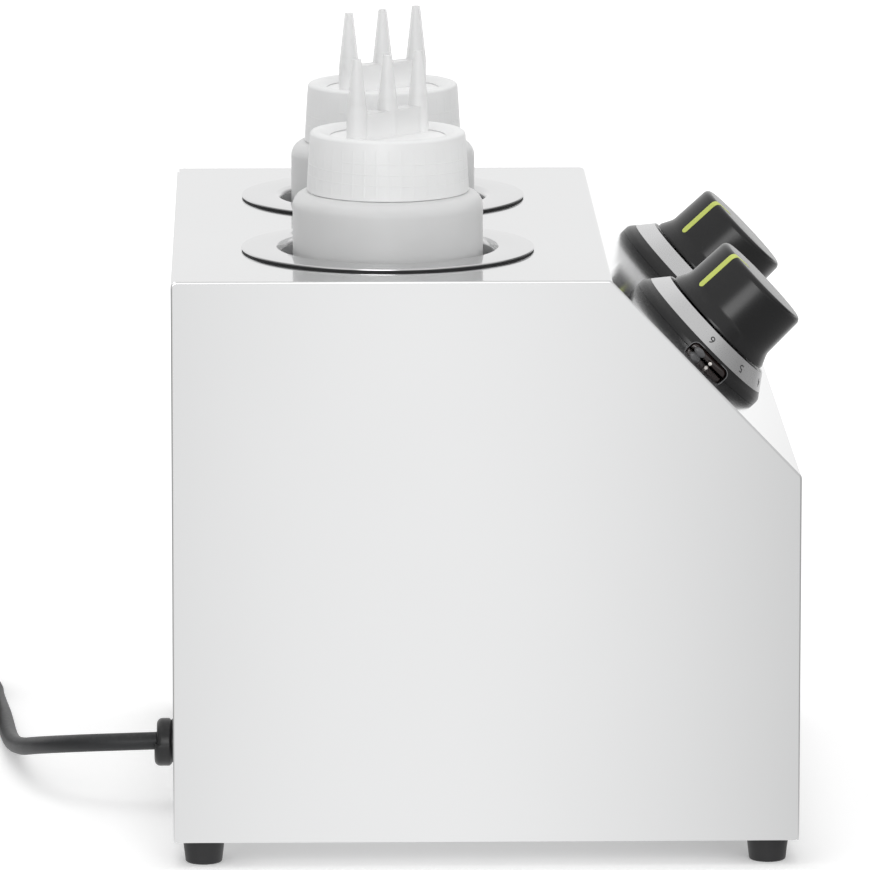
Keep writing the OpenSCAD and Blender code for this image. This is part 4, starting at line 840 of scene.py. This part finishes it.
# %% The knobs
KNOB_LINE = ((25, 12.0), (25, 13.1), (22.6, 18.1), (22, 37.6))
KNOB_OUTLINE = rounded(
    [*KNOB_LINE, (0, 37.6), (0, 26.1), (3.05, 26.1), (3.05, 12.0), (7.5, 12.0), (7.5, 34.0), (19.6, 34.0),
     (19.6, 12.0)],
    [0.3, 0.5, 6, 2.4, 0, 0, 0, 0, 0, 0, 0, 0])
OFF_ANGLE = math.radians(36)
for side in SIDES:
    turned = DIAL[side] @ Matrix.Rotation(OFF_ANGLE, 4, "Z")
    finished_piece("turned_knob_" + side, lathed(KNOB_OUTLINE, 160), turned, "knob_unit_" + side, "knob_plastic",
                   ["knob_" + side])

# %% The pointer stripes
STRIPE_LOW = 18.5
STRIPE_HALF = 1.3
STRIPE_PROUD = 0.12
STRIPE_DEEP = 0.6


def stripe_path():
    """Points (radius, height) along the knob's outline, from the stripe's low end over the edge on to the cap."""
    line = rounded([(25, 13.1), (22.6, 18.1), (22, 37.6), (12, 37.6)], [0, 6, 2.4, 0], 8)
    line = [point for point in line if point.y > STRIPE_LOW]
    return [Vector((line[0].x + (line[0].y - STRIPE_LOW) * 0.09, STRIPE_LOW))] + line


def stripe_mesh():
    path = stripe_path()
    fine = []
    for start, end in zip(path, path[1:]):
        pieces = max(1, round((end - start).length / 0.5))
        fine += [start.lerp(end, number / pieces) for number in range(pieces)]
    fine.append(path[-1])
    run = [0.0]
    for start, end in zip(fine, fine[1:]):
        run.append(run[-1] + (end - start).length)
    form = bmesh.new()
    layers = []
    for lift in (STRIPE_PROUD, -STRIPE_DEEP):
        rows = []
        for number, point in enumerate(fine):
            along = (fine[min(number + 1, len(fine) - 1)] - fine[max(number - 1, 0)]).normalized()
            outward = Vector((along.y, -along.x)) * lift
            left = min(run[number], run[-1] - run[number], STRIPE_HALF) if number < len(fine) / 2 else STRIPE_HALF
            half = math.sqrt(max(STRIPE_HALF ** 2 - (STRIPE_HALF - left) ** 2, 0.06))
            reach = point + outward
            row = []
            for share in (-1, -0.5, 0, 0.5, 1):
                aside = half * share
                depth = math.sqrt(max(reach.x ** 2 - aside ** 2, 0))
                row.append(form.verts.new((aside * MM, depth * MM, reach.y * MM)))
            rows.append(row)
        layers.append(rows)
    outer, inner = layers
    for rows in layers:
        for row, following in zip(rows, rows[1:]):
            for number in range(4):
                form.faces.new((row[number], row[number + 1], following[number + 1], following[number]))
    for number in range(len(fine) - 1):
        for edge in (0, -1):
            form.faces.new((outer[number][edge], outer[number + 1][edge],
                            inner[number + 1][edge], inner[number][edge]))
    for end in (0, -1):
        for number in range(4):
            form.faces.new((outer[end][number], outer[end][number + 1], inner[end][number + 1], inner[end][number]))
    return as_mesh(form)


for side in SIDES:
    turned = DIAL[side] @ Matrix.Rotation(OFF_ANGLE, 4, "Z")
    finished_piece("pointer_stripe_" + side, stripe_mesh(), turned, "knob_unit_" + side,
                   "pointer_plastic", ["knob_pointer_" + side])

# %% The figures on the scales
FIGURE_R = 29.3
FIGURE_UP = 8.25
FIGURE_SIZE = 4.9
FIRST_FIGURE, FIGURE_STEP = 95.0, 35.5
SLANT = math.atan2(31.7 - 26.9, 11.4 - 5.1)
for side in SIDES:
    form = bmesh.new()
    for number in range(6):
        text = bpy.data.curves.new("figure", "FONT")
        text.body = str(number + 1)
        text.size = FIGURE_SIZE * MM
        text.extrude = 0.06 * MM
        text.align_x = "CENTER"
        text.align_y = "CENTER"
        holder = bpy.data.objects.new("figure", text)
        bpy.context.scene.collection.objects.link(holder)
        seen = bpy.context.evaluated_depsgraph_get()
        letter = bpy.data.meshes.new_from_object(holder.evaluated_get(seen), depsgraph=seen)
        bpy.data.objects.remove(holder)
        turn = math.radians(FIRST_FIGURE + FIGURE_STEP * number)
        outward = Vector((math.sin(turn), math.cos(turn), 0))
        down = outward * math.sin(SLANT) - Vector((0, 0, math.cos(SLANT)))
        face = outward * math.cos(SLANT) + Vector((0, 0, math.sin(SLANT)))
        stand = Matrix((down.cross(face), down, face)).transposed().to_4x4()
        where = outward * FIGURE_R * MM + Vector((0, 0, FIGURE_UP * MM)) - face * 0.02 * MM
        letter.transform(Matrix.Translation(where) @ stand)
        form.from_mesh(letter)
    finished_piece("figures_" + side, as_mesh(form, 1e-7), DIAL[side], "case", "scale_metal", (), 30, "numeral_ink")

# %% [markdown]
# The bezel round a scale is a low black cone. On the side of the pilot lamp it has a long window with a rounded
# top, framed by a thin raised bead, with a dark lens behind it. The window is cut with an exact boolean from a block
# that has the window's outline. The bead is the same outline drawn as a line and given a round section. Its grey,
# lighter than the bezel, is a painted highlight along the window's edge. A low dome on the lens is a lighter grey,
# a painted reflection, and a small pale dome beside it is a painted highlight, the bright dot on the lens.

# %% The bezels, their windows and lenses
WINDOW_TURN = math.radians(6.1)
WINDOW = ((-10, -1), (10, -1), (10, 3.8), (-10, 3.8))
BEZEL_OUTLINE = rounded(
    [(29, 0), (33.8, 0), (33.8, 2.4), (31.7, 5.1), (31.22, 4.74), (26.42, 11.04), (9.5, 11.04), (9.5, 8.64),
     (24.5, 8.64), (29, 5.1)],
    [0, 0.15, 3.2, 0.12, 0, 0.2, 0, 0, 0.5, 0.5], 8)


def window_outline(smaller, low=0.0):
    left, right, high = -10 + smaller, 10 - smaller, 3.8 - smaller
    return rounded([(left, low), (right, low), (right, high), (left, high)], [0, 0, 2.8 - smaller, 2.8 - smaller], 8)


def window_block(outline, near, far):
    form = bmesh.new()
    front = [form.verts.new((-far * MM, y * MM, z * MM)) for y, z in outline]
    back = [form.verts.new((-near * MM, y * MM, z * MM)) for y, z in outline]
    form.faces.new(front)
    form.faces.new(back)
    for number in range(len(front)):
        form.faces.new((front[number - 1], front[number], back[number], back[number - 1]))
    return as_mesh(form)


def on_cone(y, z):
    """The bezel's outer surface at a place along and above the slope."""
    reach = 33.8 - max(z - 1.4, 0) ** 2 * 0.16
    return Vector((-math.sqrt(reach ** 2 - y ** 2), y, z)) * MM


def lens_mesh():
    form = bmesh.new()
    loops = []
    for smaller, inward in ((0.25, 6), (0.25, 1.7), (0.45, 1.2), (0.8, 0.95), (1.3, 0.85)):
        loops.append([form.verts.new(on_cone(y, z) + Vector((inward * MM, 0, 0)))
                      for y, z in window_outline(smaller, 0.1 + 0.6 * smaller)])
    for loop, following in zip(loops, loops[1:]):
        for number in range(len(loop)):
            form.faces.new((loop[number - 1], loop[number], following[number], following[number - 1]))
    form.faces.new(loops[0])
    form.faces.new(loops[-1])
    return as_mesh(form)


def dome(centre, half_length, half_height, depth):
    """A low dome that stands out of the lens, towards -x."""
    form = bmesh.new()
    bmesh.ops.create_uvsphere(form, u_segments=24, v_segments=16, radius=1)
    place = Matrix.Translation(centre) @ Matrix.Diagonal((depth * MM, half_length * MM, half_height * MM, 1))
    bmesh.ops.transform(form, matrix=place, verts=form.verts)
    return as_mesh(form)


for side in SIDES:
    turned = DIAL[side] @ Matrix.Rotation(WINDOW_TURN, 4, "Z")
    block = window_block(rounded(WINDOW, [0, 0, 2.8, 2.8], 8), 27, 36)
    finished_piece("bezel_cone_" + side, combined(lathed(BEZEL_OUTLINE, 160), block, "DIFFERENCE"), turned, "case",
                   "bezel_plastic", ["bezel_" + side])
    finished_piece("window_lens_" + side, lens_mesh(), turned, "case", "lens_plastic", ["pilot_lens_" + side])
    # A low dome on the lens, lighter grey than the lens: painted reflection, on top of the real one its curve catches.
    centre = on_cone(5.2, 1.3) + Vector((0.9 * MM, 0, 0))
    finished_piece("lens_dome_" + side, dome(centre, 2.7, 1.6, 0.9), turned, "case", "lens_plastic", (), 60,
                   "lens_grey_painted_reflection")
    # A small pale dome in the window: a painted highlight, the bright dot that a lamp leaves on the lens.
    centre = on_cone(-1.0, 1.1) + Vector((0.5 * MM, 0, 0))
    finished_piece("lamp_tip_" + side, dome(centre, 0.8, 0.75, 0.6), turned, "case", "lamp_glass", (), 60)
    # The bead is grey, lighter than the bezel: a painted highlight along the window's edge, on top of what its round
    # section catches.
    path = window_outline(-0.15, 0.05)
    bead = curve_object("window_bead", [on_cone(y, z) for y, z in path[1:] + path[:1]], 0.2 * MM, 3)
    seen = bpy.context.evaluated_depsgraph_get()
    rim = bpy.data.meshes.new_from_object(bead.evaluated_get(seen), depsgraph=seen)
    bpy.data.objects.remove(bead)
    finished_piece("window_bead_" + side, rim, turned, "case", "bezel_plastic", (), 60, "bead_grey_painted_highlight")

# %% [markdown]
# Twelve countersunk screws hold the back and the base. One screw is enough work to be worth doing well: a turned
# head with a cross cut into it. Geometry Nodes then set it on every place, each turned by its own small amount, as
# screws are never all tightened to the same angle.

# %% A tree that sets one screw on many places
screw_tree, take, give = new_tree("set_screws", [
    ("Screw", OBJECT, None), ("Facing", VECTOR, (0, 0, 0)), ("Seed", INTEGER, 7), ("Material", MATERIAL, None)])
one = add_node(screw_tree, "GeometryNodeObjectInfo", {"Object": take["Screw"]})
set_down = add_node(screw_tree, "GeometryNodeInstanceOnPoints", {
    "Points": take["Geometry"], "Instance": one.outputs["Geometry"], "Rotation": take["Facing"]})
spin = add_node(screw_tree, "FunctionNodeRandomValue", {2: 0.0, 3: 6.28, "Seed": take["Seed"]}, data_type="FLOAT")
about = add_node(screw_tree, "ShaderNodeCombineXYZ", {"Z": spin.outputs[1]})
turned = add_node(screw_tree, "GeometryNodeRotateInstances", {
    "Instances": set_down.outputs[0], "Rotation": about.outputs[0]})
close_tree(screw_tree, give, (turned.outputs[0],), take["Material"])

# %% The screws of the back and the base
SCREW_X = 145.25
SCREW_OUTLINE = rounded([(0, 0), (0, -8), (1.5, -8), (1.75, -7.4), (1.75, -1), (3, -0.05), (2.9, 0)],
                        [0, 0, 0, 0, 0, 0, 0])


def cross_screw():
    """A countersunk screw that points down, its head flush with z = 0."""
    solid = lathed(SCREW_OUTLINE, 28)
    for angle in (0, 90):
        arm = slab(1.7, 0.35, -0.7, 0.5, 0.3)
        arm.transform(Matrix.Rotation(math.radians(angle), 4, "Z"))
        solid = combined(solid, arm, "DIFFERENCE")
    return solid


screw = bpy.data.objects.new("one_screw", cross_screw())
bpy.context.scene.collection.objects.link(screw)
SCREW_SETS = {
    "back": ([(x, 125, z) for x in (-SCREW_X, SCREW_X) for z in (38, 123.5, 209)], (-math.pi / 2, 0, 0)),
    "base": ([(x, y, 10) for x in (-SCREW_X, SCREW_X) for y in (-97, 0, 97)], (math.pi, 0, 0))}
for place, (points, facing) in SCREW_SETS.items():
    mesh = bpy.data.meshes.new("places")
    mesh.from_pydata([Vector(point) * MM for point in points], [], [])
    made = grown(screw_tree, mesh, {"Screw": screw, "Facing": facing, "Material": finishes["screw_steel"]})
    finished_piece("cross_screws_" + place, made, Matrix(), "case", "screw_steel", [place + "_screws"])
bpy.data.objects.remove(screw)
